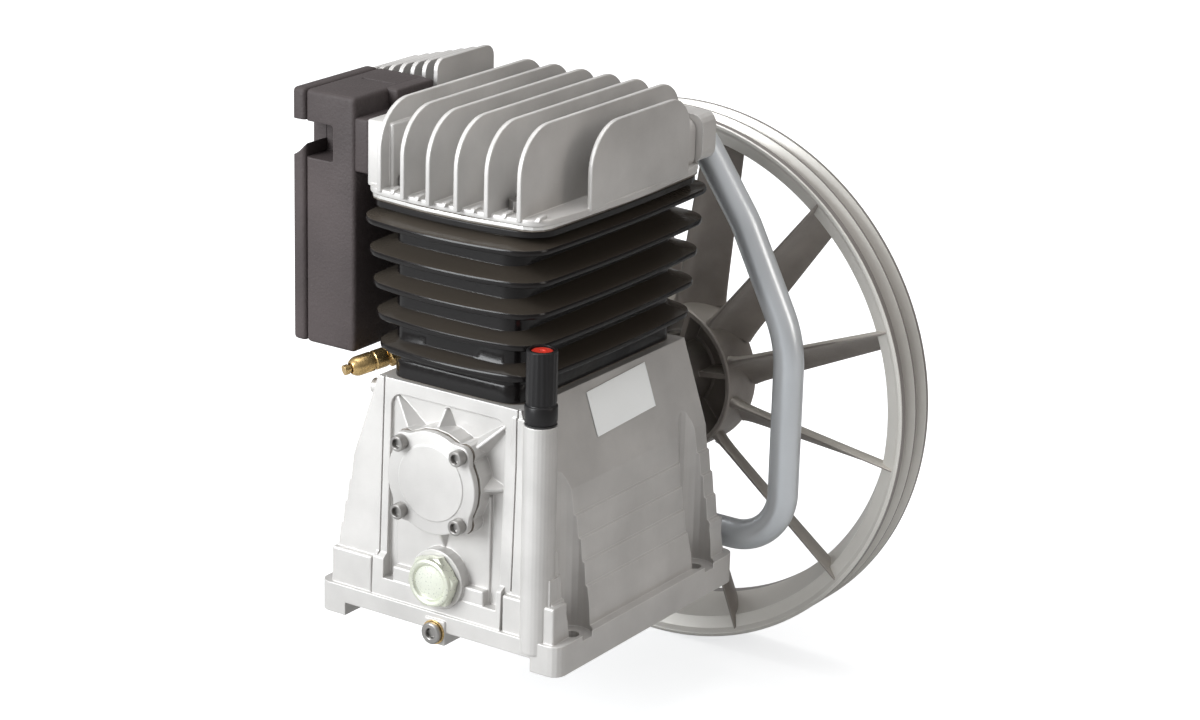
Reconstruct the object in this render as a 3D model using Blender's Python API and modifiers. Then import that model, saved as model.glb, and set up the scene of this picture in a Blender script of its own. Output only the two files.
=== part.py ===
"""Two-cylinder, two-stage, belt-driven air compressor pump with a fan flywheel.

Frame: X is the width, -Y the front (bearing cover and oil sight glass), +Y the
flywheel side and Z up.  The origin is the middle of the plane under the two
base rails, and the crank axis runs along Y at X = 0.  Every size below is in
millimetres; the helpers turn them into metres.
"""

import math

import bmesh
import bpy
from mathutils import Matrix, Vector

MM = 0.001
GAP = 0.3  # space left between two pieces that touch

# ---- driving dimensions -------------------------------------------------
BASE_X, BASE_Y, BASE_Z = 191.0, 209.0, 20.5  # base flange
ARCH_Z = 9.0                                 # height of the gap between the rails
RAIL_IN = 74.0                               # inner side of each rail
BOLT_X, BOLT_Y = 83.0, 72.0                  # holes for the mounting bolts
CASE_TOP, CASE_TOP_X = 167.0, 56.0           # crankcase deck and its half width
CRANK_Z = 111.5                              # height of the crank axis
LARGE_Y, LARGE_R = -44.0, 45.0                     # low-pressure cylinder, in front
SMALL_Y, SMALL_R = 50.0, 31.0                      # high-pressure cylinder, behind
THROW, ROD = 20.0, 66.0                      # crank radius and rod length
BLOCK_LOW, BLOCK_TOP = 168.0, 283.0
HEAD_LOW, HEAD_FLOOR, HEAD_TOP = 286.6, 291.0, 346.0
FIN_PITCH = 21.43                            # across the head's fins
FIN_REAR = 0.35                              # bow of a block fin's back, against its front
STUDS = tuple((side * x, y) for side in (-1, 1)  # head bolts
              for x, y in ((42.3, -78.5), (42.3, 3.0), (21.4, 86.0)))
COVER_Y = -105.0                             # face of the front bearing boss
SCREW_AT = 23.0                              # cover screws, from the crank axis
GLASS_Z, GLASS_FACE = 44.0, -104.0           # oil sight glass
DRAIN_Z, DRAIN_FACE = 8.4, -106.0
PIPE_X, PIPE_Y, PIPE_R, PIPE_TOP = 73.0, -96.0, 10.9, 163.0
WHEEL_R, WHEEL_FRONT, WHEEL_REAR = 190.0, 155.0, 192.0
BLADES, BLADE_PHASE = 12, -9.0
TUBE_R, TUBE_Y = 10.3, 120.0                 # intercooler tube, bent in one plane
PORT_X, PORT_Z = 42.5, 305.0                 # its two ports, at the head's rear
FLANGE_Y = (82.0, 98.0)                      # flanges that hold its ends
FILTER_X, FILTER_Y, FILTER_Z = (-130.0, -79.6), (-88.0, -11.5), (175.2, 343.5)
VALVE_SEAT = Vector((-61.0, -64.0, 174.2))    # safety valve, pointing forward and left
VALVE_WAY = Vector((-0.42, -0.89, -0.17)).normalized()

PUMP = None   # collection that holds the finished pieces
TOOLS = None  # collection that holds cutters and pieces that are joined on


# ---- scene and materials ------------------------------------------------
def clear_scene():
    for obj in list(bpy.data.objects):
        bpy.data.objects.remove(obj, do_unlink=True)


def collection(name):
    group = bpy.data.collections.new(name)
    bpy.context.scene.collection.children.link(group)
    return group


def material(name, colour, roughness, metallic):
    mat = bpy.data.materials.get(name)
    if mat is None:
        mat = bpy.data.materials.new(name)
        mat.use_nodes = True
        shader = mat.node_tree.nodes["Principled BSDF"]
        shader.inputs["Base Color"].default_value = (*colour, 1.0)
        shader.inputs["Roughness"].default_value = roughness
        shader.inputs["Metallic"].default_value = metallic
        mat.diffuse_color = (*colour, 1.0)
    return mat


CAST = ("cast aluminium", (0.74, 0.73, 0.71), 0.45, 0.8)
IRON = ("black painted iron", (0.012, 0.011, 0.011), 0.22, 0.0)
STEEL = ("steel", (0.55, 0.54, 0.52), 0.3, 1.0)
DARK_STEEL = ("oiled steel", (0.2, 0.19, 0.18), 0.4, 1.0)
BLACK = ("black plastic", (0.03, 0.028, 0.028), 0.55, 0.0)
BRASS = ("brass", (0.72, 0.52, 0.2), 0.3, 1.0)
GASKET = ("gasket paper", (0.2, 0.19, 0.17), 0.9, 0.0)
RUBBER = ("rubber", (0.02, 0.02, 0.02), 0.8, 0.0)
RED = ("red plastic", (0.7, 0.05, 0.03), 0.4, 0.0)
CLEAR = ("clear plastic", (0.85, 0.9, 0.85), 0.1, 0.0)
PAPER = ("white label", (0.85, 0.87, 0.85), 0.5, 0.0)
FOAM = ("filter foam", (0.1, 0.1, 0.1), 0.95, 0.0)


def piece(obj, look, parent, origin=None, smooth=True):
    """Finish one sub-part: material, shading, origin (on its joint) and parent."""
    obj.data.materials.clear()
    obj.data.materials.append(material(*look))
    if origin is not None:
        shift = Vector(origin) * MM
        obj.data.transform(Matrix.Translation(-shift))
        obj.location = shift
    if smooth:
        obj.data.shade_smooth()
        obj.data.set_sharp_from_angle(angle=math.radians(35))
    obj.parent = parent
    return obj


# ---- shapes -------------------------------------------------------------
def mesh_object(name, bm):
    mesh = bpy.data.meshes.new(name)
    bmesh.ops.recalc_face_normals(bm, faces=bm.faces)
    bm.to_mesh(mesh)
    bm.free()
    obj = bpy.data.objects.new(name, mesh)
    PUMP.objects.link(obj)
    return obj


def box(name, x, y, z, bevel=0.0):
    bm = bmesh.new()
    bmesh.ops.create_cube(bm, size=1.0)
    spans = (x, y, z)
    for vert in bm.verts:
        vert.co = Vector([lo + (c + 0.5) * (hi - lo) for c, (lo, hi) in zip(vert.co, spans)]) * MM
    if bevel:
        bmesh.ops.bevel(bm, geom=bm.edges[:], offset=bevel * MM, segments=2, profile=0.5,
                        affect="EDGES")
    return mesh_object(name, bm)


def rod(name, start, end, radius, sides=32, end_radius=None, turn=0.0):
    """A cylinder, or a cone or a prism with few sides, between two points."""
    start, end = Vector(start) * MM, Vector(end) * MM
    along = end - start
    bm = bmesh.new()
    bmesh.ops.create_cone(
        bm, cap_ends=True, segments=sides, depth=along.length, radius1=radius * MM,
        radius2=(radius if end_radius is None else end_radius) * MM)
    aim = along.to_track_quat("Z", "Y").to_matrix().to_4x4() @ Matrix.Rotation(turn, 4, "Z")
    bmesh.ops.transform(bm, matrix=Matrix.Translation((start + end) / 2) @ aim, verts=bm.verts)
    return mesh_object(name, bm)


def prism(name, outline, axis, span):
    """An outline in the plane across the axis, extruded along it."""
    places = {"X": lambda a, b, c: (c, a, b), "Y": lambda a, b, c: (a, c, b),
              "Z": lambda a, b, c: (a, b, c)}
    place = places[axis]
    bm = bmesh.new()
    face = bm.faces.new([bm.verts.new(Vector(place(a, b, span[0])) * MM) for a, b in outline])
    pulled = bmesh.ops.extrude_face_region(bm, geom=[face])["geom"]
    move = Vector(place(0.0, 0.0, span[1] - span[0])) * MM
    bmesh.ops.translate(bm, vec=move, verts=[v for v in pulled if isinstance(v, bmesh.types.BMVert)])
    return mesh_object(name, bm)


def turned(name, profile, centre, axis="Y", steps=32, closed=True):
    """A profile of (radius, height) points, top to bottom outside, turned about the axis."""
    bm = bmesh.new()
    verts = [bm.verts.new((r * MM, 0.0, h * MM)) for r, h in profile]
    for a, b in zip(verts, verts[1:]):
        bm.edges.new((a, b))
    if closed:
        bm.edges.new((verts[-1], verts[0]))
    mesh = bpy.data.meshes.new(name)
    bm.to_mesh(mesh)
    bm.free()
    obj = bpy.data.objects.new(name, mesh)
    PUMP.objects.link(obj)
    screw = obj.modifiers.new("Turn", "SCREW")
    screw.axis = "Z"
    screw.steps = screw.render_steps = steps
    screw.use_merge_vertices = True
    screw.merge_threshold = 0.00001
    if axis == "Y":
        obj.rotation_euler = (-math.pi / 2, 0.0, 0.0)
    obj.location = Vector(centre) * MM
    return obj


def ring(name, inner, outer, span, centre, axis="Y", steps=18):
    low, high = span
    profile = [(outer, high), (outer, low), (inner, low), (inner, high)]
    return turned(name, profile, centre, axis, steps)


def loft(name, loops, strip=False):
    """One closed body through loops of equal length, capped at both ends.

    A strip's loops run out along one side and back along the other, so that
    each cap can be a row of quads that bends with the strip.
    """
    bm = bmesh.new()
    rows = [[bm.verts.new(Vector(p) * MM) for p in loop] for loop in loops]
    count = len(rows[0])
    for low, high in zip(rows, rows[1:]):
        for i in range(count):
            j = (i + 1) % count
            bm.faces.new((low[i], low[j], high[j], high[i]))
    for row in (rows[0], rows[-1]):
        if strip:
            for i in range(count // 2 - 1):
                bm.faces.new((row[i], row[i + 1], row[count - 2 - i], row[count - 1 - i]))
        else:
            bm.faces.new(row)
    if strip:
        bmesh.ops.triangulate(bm, faces=bm.faces[:])
    return mesh_object(name, bm)


def join_meshes(name, objects):
    """Separate shapes put into one mesh object, to serve as one Boolean tool."""
    bm = bmesh.new()
    for obj in objects:
        obj.data.transform(obj.matrix_basis)
        bm.from_mesh(obj.data)
        bpy.data.objects.remove(obj)
    return mesh_object(name, bm)


def boolean(obj, operation, tools):
    for tool in tools:
        for group in list(tool.users_collection):
            group.objects.unlink(tool)
        TOOLS.objects.link(tool)
        tool.hide_render = True
        tool.display_type = "WIRE"
        mod = obj.modifiers.new(tool.name, "BOOLEAN")
        mod.operation = operation
        mod.object = tool
    return obj


def cut(obj, *tools):
    return boolean(obj, "DIFFERENCE", tools)


def add(obj, *tools):
    return boolean(obj, "UNION", tools)


def keep(obj, tool):
    return boolean(obj, "INTERSECT", [tool])


def rounded(half_a, half_b, radius, segments=4, centre=(0.0, 0.0)):
    """A rectangle with round corners."""
    points = []
    for k, (sa, sb) in enumerate(((1, 1), (-1, 1), (-1, -1), (1, -1))):
        ca, cb = sa * (half_a - radius), sb * (half_b - radius)
        for i in range(segments + 1):
            angle = math.pi / 2 * (k + i / segments)
            points.append((centre[0] + ca + radius * math.cos(angle),
                           centre[1] + cb + radius * math.sin(angle)))
    return points


def pillow(half_x, half_y, bulge_x, bulge_y, rear=1.0, radius=12.0):
    """A rectangle with round corners whose sides swell; rear is the back's share of it."""
    corners = rounded(half_x, half_y, radius, 3)
    points = []
    for i, here in enumerate(corners):
        points.append(here)
        if i % 4 == 3:
            after = corners[(i + 1) % len(corners)]
            points += [tuple(a + (b - a) * k / 3 for a, b in zip(here, after)) for k in (1, 2)]
    return [(x * (1 - bulge_x / half_x * (y / half_y) ** 2),
             y * (1 - bulge_y * (rear if y > 0 else 1.0) / half_y * (x / half_x) ** 2))
            for x, y in points]


def at_crank(x, y, z):
    """A point given from the crank axis."""
    return (x, y, CRANK_Z + z)


# ---- crankcase ----------------------------------------------------------
def side_profile():
    """Half outline of the flared body across the width, with its stepped ribs."""
    points = [(CASE_TOP_X, CASE_TOP), (74.0, 110.0)]
    rib_top, rib_pitch, ledge = 93.0, 15.5, 1.6
    for k in range(4):
        x, z = 75.6 + 2.9 * k, rib_top - rib_pitch * k
        points += [(x, z), (x + ledge, z - 1.0)]
    points += [(88.5, 31.0), (89.5, BASE_Z - 2.0)]
    return points


def body_shell():
    """Flared body: the stepped side outline met by the sloping front and rear."""
    half = side_profile()
    outline = half + [(-x, z) for x, z in reversed(half)]
    shell = prism("crankcase", outline, "Y", (-115.0, 115.0))
    slope = [(-92.9, CASE_TOP + 5), (-98.8, BASE_Z - 4), (98.5, BASE_Z - 4), (93.5, CASE_TOP + 5)]
    return keep(shell, prism("case_slopes", slope, "X", (-120.0, 120.0)))


def panel_recess(name):
    """Cutter for the panel in the front wall: round upper corners and a leaning floor."""
    low, high, half, radius = 33.0, 158.0, 45.0, 8.0
    outline = [(-half, low), (half, low)]
    for side, first in ((1, 0.0), (-1, math.pi / 2)):
        for i in range(5):
            angle = first + math.pi / 2 * i / 4
            outline.append((side * (half - radius) + radius * math.cos(angle),
                            high - radius + radius * math.sin(angle)))
    floor = [(x, -91.3 - (high - z) * 0.023, z) for x, z in outline]
    return loft(name, [[(x, -120.0, z) for x, z in outline], floor])


def boss_rib(name, angle, reach):
    """A gusset from the bearing boss to the panel's edge: wide at the boss, pointed outside."""
    out = Vector((math.cos(math.radians(angle)), math.sin(math.radians(angle))))
    side = Vector((-out.y, out.x))
    loops = []
    for along, crest, foot in ((22.0, -103.6, 8.5), (33.5, -103.6, 8.5), (reach, -93.9, 1.6)):
        loops.append([at_crank(out.x * along + side.x * w, y, out.y * along + side.y * w)
                      for w, y in ((-foot, -88.0), (-0.8, crest), (0.8, crest), (foot, -88.0))])
    return loft(name, loops, strip=True)


def front_bosses():
    """What stands on the front wall: panel foot, middle plate, bearing boss, glass boss."""
    foot = prism("panel_foot", [(-97.6, 49.0), (-101.2, 46.0), (-102.4, 19.0), (-85.0, 19.0),
                                (-85.0, 49.0)], "X", (-53.6, 48.6))
    cut(foot, panel_recess("foot_recess"))
    sill = box("glass_sill", (-37.5, 34.5), (-101.2, -85.0), (25.0, 43.0), 1.0)
    plate = box("middle_plate", (-38.5, 35.5), (-95.6, -85.0), (30.0, 106.0), 0.8)
    glass = rod("glass_boss", (0, -88, GLASS_Z), (0, GLASS_FACE, GLASS_Z), 20.0, 28)
    boss = bearing_outline("bearing_boss", -88.0, COVER_Y, 35.0)
    ribs = [boss_rib(f"boss_rib_{k}", angle, reach) for k, (angle, reach) in
            enumerate(((132, 60), (92, 45), (44, 62), (1, 45), (-90, 52)))]
    return [foot, sill, plate, glass, boss] + ribs


def bearing_outline(name, start, end, radius):
    """A round pad with four screw lugs, shared by boss, gasket and cover."""
    pad = rod(name, at_crank(0, start, 0), at_crank(0, end, 0), radius, 24)
    lugs = []
    for k, (sx, sz) in enumerate(((-1, 1), (1, 1), (-1, -1), (1, -1))):
        x, z = sx * SCREW_AT, sz * SCREW_AT
        lugs.append(rod(f"{name}_lug_{k}", at_crank(x, start, z), at_crank(x, end, z), 7.2, 12))
    return add(pad, *lugs)


def filler_column():
    pipe = rod("filler_pipe", (PIPE_X, PIPE_Y, 12.0), (PIPE_X, PIPE_Y, PIPE_TOP), PIPE_R, 28)
    web = prism("filler_web", [(50.0, PIPE_TOP - 1.0), (50.0, 14.0), (PIPE_X, 14.0),
                               (PIPE_X, PIPE_TOP - 1.0)], "Y", (-94.5, -86.5))
    return [pipe, web]


def pedestals():
    """Low blocks along the base at each corner, and the pad of the drain plug."""
    blocks = []
    for k, (x, y) in enumerate((((-87.0, -54.8), (-101.6, -80.0)), ((49.8, 89.5), (-101.6, -86.5)),
                                ((-87.0, -52.5), (84.0, 100.5)), ((52.5, 87.0), (84.0, 100.5)))):
        blocks.append(box(f"pedestal_{k}", x, y, (16.0, 45.0), 1.2))
    blocks.append(box("corner_rib", (80.5, 84.5), (-99.0, -90.0), (40.0, 62.0)))
    blocks.append(box("drain_pad", (-8.0, 8.0), (DRAIN_FACE, -78.0), (0.0, 17.0), 0.8))
    return blocks


def crankcase(parent):
    case = cut(body_shell(), panel_recess("panel_recess"))
    flange = prism("base_flange", rounded(BASE_X / 2, BASE_Y / 2, 8.0), "Z", (0.0, BASE_Z))
    cut(flange, box("arch", (-RAIL_IN, RAIL_IN), (-120, 120), (-5.0, ARCH_Z)))
    rear = rod("rear_boss", at_crank(0, 86, 0), at_crank(0, 100, 0), 47.0, 28)
    add(case, flange, *pedestals(), *front_bosses(), *filler_column(), rear)
    grooves = [prism(f"panel_groove_{k}", [(-110.0, CASE_TOP + 4), (-91.2, CASE_TOP + 4),
                                            (-95.9, 47.0), (-110.0, 47.0)], "X", (x, x + 1.1))
               for k, x in enumerate((-51.3, 53.3))]
    cut(case, join_meshes("panel_grooves", grooves))
    inside = [(-35, 180), (-35, 152), (-44, 148), (-60, 100), (-62, 14), (62, 14), (60, 100),
              (44, 148), (35, 152), (35, 180)]
    cut(case, prism("sump", inside, "Y", (-72.0, 78.0)))
    cut(case, rod("front_bore", at_crank(0, -120, 0), at_crank(0, -60, 0), 26.5, 20))
    cut(case, rod("rear_bore", at_crank(0, 60, 0), at_crank(0, 120, 0), 36.5, 24))
    cut(case, rod("glass_bore", (0, -120, GLASS_Z), (0, -60, GLASS_Z), 11.0, 16))
    cut(case, rod("drain_bore", (0, -120, DRAIN_Z), (0, -84, DRAIN_Z), 5.0, 12))
    cut(case, rod("drain_riser", (0, -84, 6.0), (0, -66, 20.0), 3.5, 8))
    cut(case, rod("filler_bore", (PIPE_X, PIPE_Y, 40.0), (PIPE_X, PIPE_Y, 180.0), 7.0, 16))
    cut(case, rod("filler_drain", (PIPE_X, PIPE_Y, 48.0), (45.0, -60.0, 34.0), 5.5, 10))
    cut(case, rod("plug_bore", (-56, -80, 154), (-80, -80, 154), 5.3, 12))
    wells, holes = [], []
    for k, (sx, sy) in enumerate(((-1, -1), (1, -1), (-1, 1), (1, 1))):
        x, y = sx * BOLT_X, sy * BOLT_Y
        wells.append(rod(f"bolt_well_{k}", (x, y, 17.0), (x, y, 150.0), 13.5, 20))
        holes.append(rod(f"bolt_hole_{k}", (x, y, -5.0), (x, y, 30.0), 5.5, 10))
    cut(case, join_meshes("bolt_wells", wells), join_meshes("bolt_holes", holes))
    screws = [rod(f"cover_thread_{k}", at_crank(sx * SCREW_AT, -115, sz * SCREW_AT),
                  at_crank(sx * SCREW_AT, -92, sz * SCREW_AT), 3.0, 8, turn=0.13)
              for k, (sx, sz) in enumerate(((-1, 1), (1, 1), (-1, -1), (1, -1)))]
    cut(case, join_meshes("cover_threads", screws))
    cut(case, stud_holes("case_stud_holes", 151.0, 175.0))
    cut(case, housing_holes("case_housing_holes", 88.0, 104.0, 2.6))
    return piece(case, CAST, parent)


def stud_holes(name, low, high):
    return join_meshes(name, [
        rod(f"{name}_{k}", (x, y, low), (x, y, high), 4.6, 8) for k, (x, y) in enumerate(STUDS)])


def housing_places():
    for k in range(4):
        angle = math.radians(45 + 90 * k)
        yield k, 41.0 * math.cos(angle), 41.0 * math.sin(angle)


def housing_holes(name, low, high, radius):
    return join_meshes(name, [
        rod(f"{name}_{k}", at_crank(x, low, z), at_crank(x, high, z), radius, 6)
        for k, x, z in housing_places()])


# ---- front cover, glass, drain, filler ----------------------------------
def front_cover(parent):
    gasket = bearing_outline("front_cover_gasket", COVER_Y - GAP, COVER_Y - 1.0, 34.5)
    cut(gasket, rod("gasket_bore", at_crank(0, -120, 0), at_crank(0, -90, 0), 27.0, 16))
    cut(gasket, screw_holes("gasket_screw_holes", 3.2))
    piece(gasket, GASKET, parent)
    face = COVER_Y - 6.2
    cover = bearing_outline("front_bearing_cover", COVER_Y - 1.3, face, 34.5)
    add(cover, rod("cover_disc", at_crank(0, -108, 0), at_crank(0, face - 0.7, 0), 26.6, 24))
    cut(cover, rod("cover_recess", at_crank(0, -90, 0), at_crank(0, COVER_Y - 3.6, 0), 22.0, 16))
    cut(cover, screw_holes("cover_screw_holes", 3.2))
    piece(cover, CAST, parent)
    for k, (sx, sz) in enumerate(((-1, 1), (1, 1), (-1, -1), (1, -1)), start=1):
        x, z = sx * SCREW_AT, sz * SCREW_AT
        socket_screw(f"cover_screw_{k}", at_crank(x, face - GAP, z), parent)


def screw_holes(name, radius):
    return join_meshes(name, [
        rod(f"{name}_{k}", at_crank(sx * SCREW_AT, -120, sz * SCREW_AT),
            at_crank(sx * SCREW_AT, -90, sz * SCREW_AT), radius, 6)
        for k, (sx, sz) in enumerate(((-1, 1), (1, 1), (-1, -1), (1, -1)))])


def socket_screw(name, seat, parent):
    """Hexagon socket head screw; the seat is the middle of its head's underside."""
    x, y, z = seat
    screw = rod(name, (x, y - 6.0, z), (x, y, z), 5.2, 14)
    add(screw, rod(f"{name}_shank", (x, y - 1.0, z), (x, y + 14.0, z), 2.65, 8))
    cut(screw, rod(f"{name}_socket", (x, y - 9.0, z), (x, y - 2.8, z), 2.9, 6))
    return piece(screw, DARK_STEEL, parent)


def sight_glass(parent):
    face = GLASS_FACE - GAP
    nut = rod("sight_glass_ring", (0, face, GLASS_Z), (0, face - 8.5, GLASS_Z), 18.6, 6, turn=0.2)
    add(nut, rod("glass_thread", (0, face - 1.0, GLASS_Z), (0, face + 10.0, GLASS_Z), 10.6, 14))
    cut(nut, rod("glass_seat", (0, face - 12.0, GLASS_Z), (0, face - 3.0, GLASS_Z), 13.0, 22))
    cut(nut, rod("glass_way", (0, face - 8.0, GLASS_Z), (0, face + 15.0, GLASS_Z), 8.0, 14))
    piece(nut, STEEL, parent)
    lens = [(0.0, 10.2), (5.0, 9.9), (9.5, 8.8), (12.6, 6.6), (12.6, 5.6), (0.0, 5.6)]
    glass = turned("sight_glass_lens", [(r, -h) for r, h in reversed(lens)],
                   (0, face, GLASS_Z), "Y", 20, closed=False)
    piece(glass, CLEAR, parent)
    dot = rod("sight_glass_reflector", (0, face - 5.2, GLASS_Z), (0, face - 3.4, GLASS_Z), 10.5, 24)
    piece(dot, RED, parent)


def drain_plug(parent):
    face = DRAIN_FACE - GAP
    washer = ring("drain_washer", 5.2, 8.2, (-1.0, 0.0), (0, face, DRAIN_Z), "Y", 20)
    piece(washer, BRASS, parent)
    seat = face - 1.0 - GAP
    plug = rod("drain_plug", (0, seat - 3.2, DRAIN_Z), (0, seat, DRAIN_Z), 7.2, 24)
    add(plug, rod("drain_thread", (0, seat - 1.0, DRAIN_Z), (0, -94.0, DRAIN_Z), 4.6, 12))
    cut(plug, rod("drain_socket", (0, seat - 6.0, DRAIN_Z), (0, seat + 3.0, DRAIN_Z), 3.4, 6))
    piece(plug, DARK_STEEL, parent)


def filler_cap(parent):
    """Breather and filler cap: a push-in plug with a knurled cap and a red insert."""
    low, high, mid = PIPE_TOP + 1.6, 212.0, (PIPE_X, PIPE_Y, 0.0)
    seal = ring("filler_seal", 6.9, 10.2, (PIPE_TOP + GAP, PIPE_TOP + 1.3), mid, "Z", 24)
    piece(seal, RUBBER, parent, smooth=False)
    profile = [(7.6, high), (9.0, high), (9.9, high - 0.9), (9.9, low + 13.0), (9.5, low + 12.5),
               (9.5, low + 11.5), (10.5, low + 11.0), (10.5, low + 0.8), (10.0, low), (6.4, low),
               (6.4, PIPE_TOP - 14.0), (4.0, PIPE_TOP - 14.0), (4.0, high - 8.0),
               (7.6, high - 8.0)]
    cap = turned("filler_cap", profile, mid, "Z", 18)
    piece(cap, BLACK, parent)
    insert = rod("filler_cap_insert", (PIPE_X, PIPE_Y, high - 7.6), (PIPE_X, PIPE_Y, high - 0.8),
                 7.3, 24)
    piece(insert, RED, parent)


def small_fittings(parent):
    plug = rod("side_plug", (-57.5, -80, 154), (-69.0, -80, 154), 4.9, 20)
    piece(plug, CAST, parent)
    lean = math.atan2(74.0 - CASE_TOP_X, CASE_TOP - 110.0)
    label = box("data_label", (-0.2, 0.2), (-34.0, 34.0), (-15.0, 15.0))
    middle_z = 148.0
    wall_x = CASE_TOP_X + (CASE_TOP - middle_z) * math.tan(lean)
    out = Vector((math.cos(lean), 0.0, math.sin(lean))) * (GAP + 0.25)
    tilt = Matrix.Rotation(-lean, 4, "Y") @ Matrix.Rotation(math.radians(2.0), 4, "X")
    label.data.transform(Matrix.Translation((Vector((wall_x, 9.7, middle_z)) + out) * MM) @ tilt)
    piece(label, PAPER, parent, smooth=False)


# ---- cylinders and head -------------------------------------------------
def block_loops():
    """Outline of the finned block from bottom to top, as level loops."""
    root = (51.0, 92.0, 1.0, 2.0)
    levels = [(BLOCK_LOW, (50.5, 91.0, 0.5, 1.0)), (179.5, (50.5, 91.0, 0.5, 1.0)),
              (181.0, root)]
    for k in range(5):
        z = 187.0 + 21.0 * k
        grow = 1.5 * k
        rim = (66.5 + grow, 100.5 + 2.0 * k, 4.0, 9.0, FIN_REAR)
        levels += [(z - 4.6, root), (z - 1.9, rim), (z + 1.9, rim), (z + 7.4, root)]
    top = (70.0, 99.0, 3.0, 7.0)
    levels += [(279.0, top), (BLOCK_TOP, top)]
    return levels


def cylinder_block(parent):
    loops = [[(x, y, z) for x, y in pillow(*size)] for z, size in block_loops()]
    block = loft("cylinder_block", loops)
    add(block, rod("valve_boss", VALVE_SEAT - VALVE_WAY * 36.0, VALVE_SEAT, 6.6, 16))
    cut(block, rod("large_bore", (0, LARGE_Y, 150), (0, LARGE_Y, 300), LARGE_R, 28))
    cut(block, rod("small_bore", (0, SMALL_Y, 150), (0, SMALL_Y, 300), SMALL_R, 24))
    cut(block, stud_holes("block_stud_holes", 150.0, 300.0))
    piece(block, IRON, parent)


def flat_layer(name, outline, span, look, parent, openings=()):
    """A gasket or plate between castings, with stud holes and openings."""
    layer = prism(name, outline, "Z", span)
    cut(layer, stud_holes(f"{name}_stud_holes", span[0] - 9, span[1] + 9))
    if openings:
        cut(layer, *openings)
    return piece(layer, look, parent, smooth=False)


def joint_layers(parent):
    low = pillow(50.5, 91.0, 0.5, 1.0)
    opening = box("base_gasket_opening", (-35, 35), (-72, 78), (150, 190))
    flat_layer("base_gasket", low, (CASE_TOP + GAP, BLOCK_LOW - GAP), GASKET, parent, [opening])
    top = pillow(70.0, 99.0, 3.0, 7.0)
    bores = [rod("plate_gasket_large", (0, LARGE_Y, 270), (0, LARGE_Y, 300), LARGE_R, 18),
             rod("plate_gasket_small", (0, SMALL_Y, 270), (0, SMALL_Y, 300), SMALL_R, 16)]
    z = BLOCK_TOP + GAP
    flat_layer("valve_plate_gasket", top, (z, z + 0.6), GASKET, parent, bores)
    ports = [rod(f"valve_port_{k}", (x, y, 270), (x, y, 300), 7.0, 8)
             for k, (x, y) in enumerate(((-20, LARGE_Y), (20, LARGE_Y), (-14, SMALL_Y), (14, SMALL_Y)))]
    flat_layer("valve_plate", top, (z + 0.9, z + 3.0), STEEL, parent, ports)


def fin_outline(front, rear, top, low, rounds=(30.0, 22.0)):
    """Side view of one fin, with its upper front and rear corners rounded."""
    points = [(rear, low), (front, low)]
    for radius, corner, start in ((rounds[0], front, math.pi), (rounds[1], rear, math.pi / 2)):
        toward = 1 if corner == front else -1
        for i in range(6):
            angle = start - math.pi / 2 * i / 5
            points.append((corner + toward * radius + radius * math.cos(angle),
                           top - radius + radius * math.sin(angle)))
    return points


def cylinder_head(parent):
    """Head casting: bowed flange, chambers under a plenum, bosses and tall fins."""
    outline = [(x, y - 1.0) for x, y in pillow(76.0, 97.5, 8.5, 5.0)]
    head = prism("cylinder_head", outline, "Z", (HEAD_LOW, HEAD_FLOOR))
    plenum = prism("plenum", rounded(52.0, 63.0, 10.0, centre=(0.0, 1.0)), "Z",
                   (HEAD_FLOOR - 2.0, 318.0))
    intake = box("intake_boss", (-69.4, -49.0), (-88.0, -34.0), (HEAD_FLOOR - 2.0, 332.0), 1.5)
    outlet = box("outlet_boss", (-66.0, -49.0), (8.0, 42.0), (HEAD_FLOOR - 2.0, 320.0), 1.5)
    ports = [prism(f"port_boss_{k}", rounded(17.0, 16.5, 8.0, centre=(s * 50.0, 304.5)), "Y",
                   (58.0, FLANGE_Y[0])) for k, s in enumerate((-1, 1))]
    fins = []
    for i in range(1, 8):  # the filter's boss and the delivery block stand in place of the first
        x = FIN_PITCH * (i - 3.5)
        front = -(103.5 - 0.0024 * x * x)
        rear, top = 80.0, HEAD_TOP
        if i == 7:
            x, front, rear, top = 73.2, -49.0, 62.0, HEAD_TOP - 3.5
        fins.append(prism(f"head_fin_{i}", fin_outline(front, rear, top, HEAD_FLOOR - 2.0), "X",
                          (x - 1.7, x + 1.7)))
    add(head, plenum, intake, outlet, *ports, *fins)
    chambers = [box("large_suction", (-46, -3), (-57, -8), (HEAD_LOW - 3, 310.0)),
                box("large_delivery", (3, 46), (-57, -8), (HEAD_LOW - 3, 310.0)),
                box("small_suction", (3, 46), (14, 60), (HEAD_LOW - 3, 310.0)),
                box("small_delivery", (-46, -3), (14, 60), (HEAD_LOW - 3, 310.0))]
    cut(head, join_meshes("head_chambers", chambers))
    ways = [rod("intake_way", (-90, -47, 303), (-42, -47, 303), 11.0, 16),
            rod("outlet_way", (-90, 25, 303), (-42, 25, 303), 9.0, 14)]
    ways += [rod(f"port_way_{k}", (s * PORT_X, 54, PORT_Z), (s * PORT_X, 90, PORT_Z), 5.5, 14)
             for k, s in enumerate((-1, 1))]
    cut(head, join_meshes("head_ways", ways))
    cut(head, stud_holes("head_stud_holes", 280.0, 325.0))
    seats = [rod(f"bolt_seat_{k}", (x, y, HEAD_FLOOR), (x, y, 352), 8.4, 14)
             for k, (x, y) in enumerate(STUDS)]
    cut(head, join_meshes("bolt_seats", seats))
    piece(head, CAST, parent)


def head_gasket(parent):
    low = BLOCK_TOP + GAP + 3.0 + GAP
    top = pillow(70.0, 99.0, 3.0, 7.0)
    openings = [box("gasket_large", (-47, 47), (-57, -9), (270, 300)),
                box("gasket_small", (-47, 47), (15, 61), (270, 300))]
    flat_layer("head_gasket", top, (low, HEAD_LOW - GAP), GASKET, parent, openings)


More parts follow.
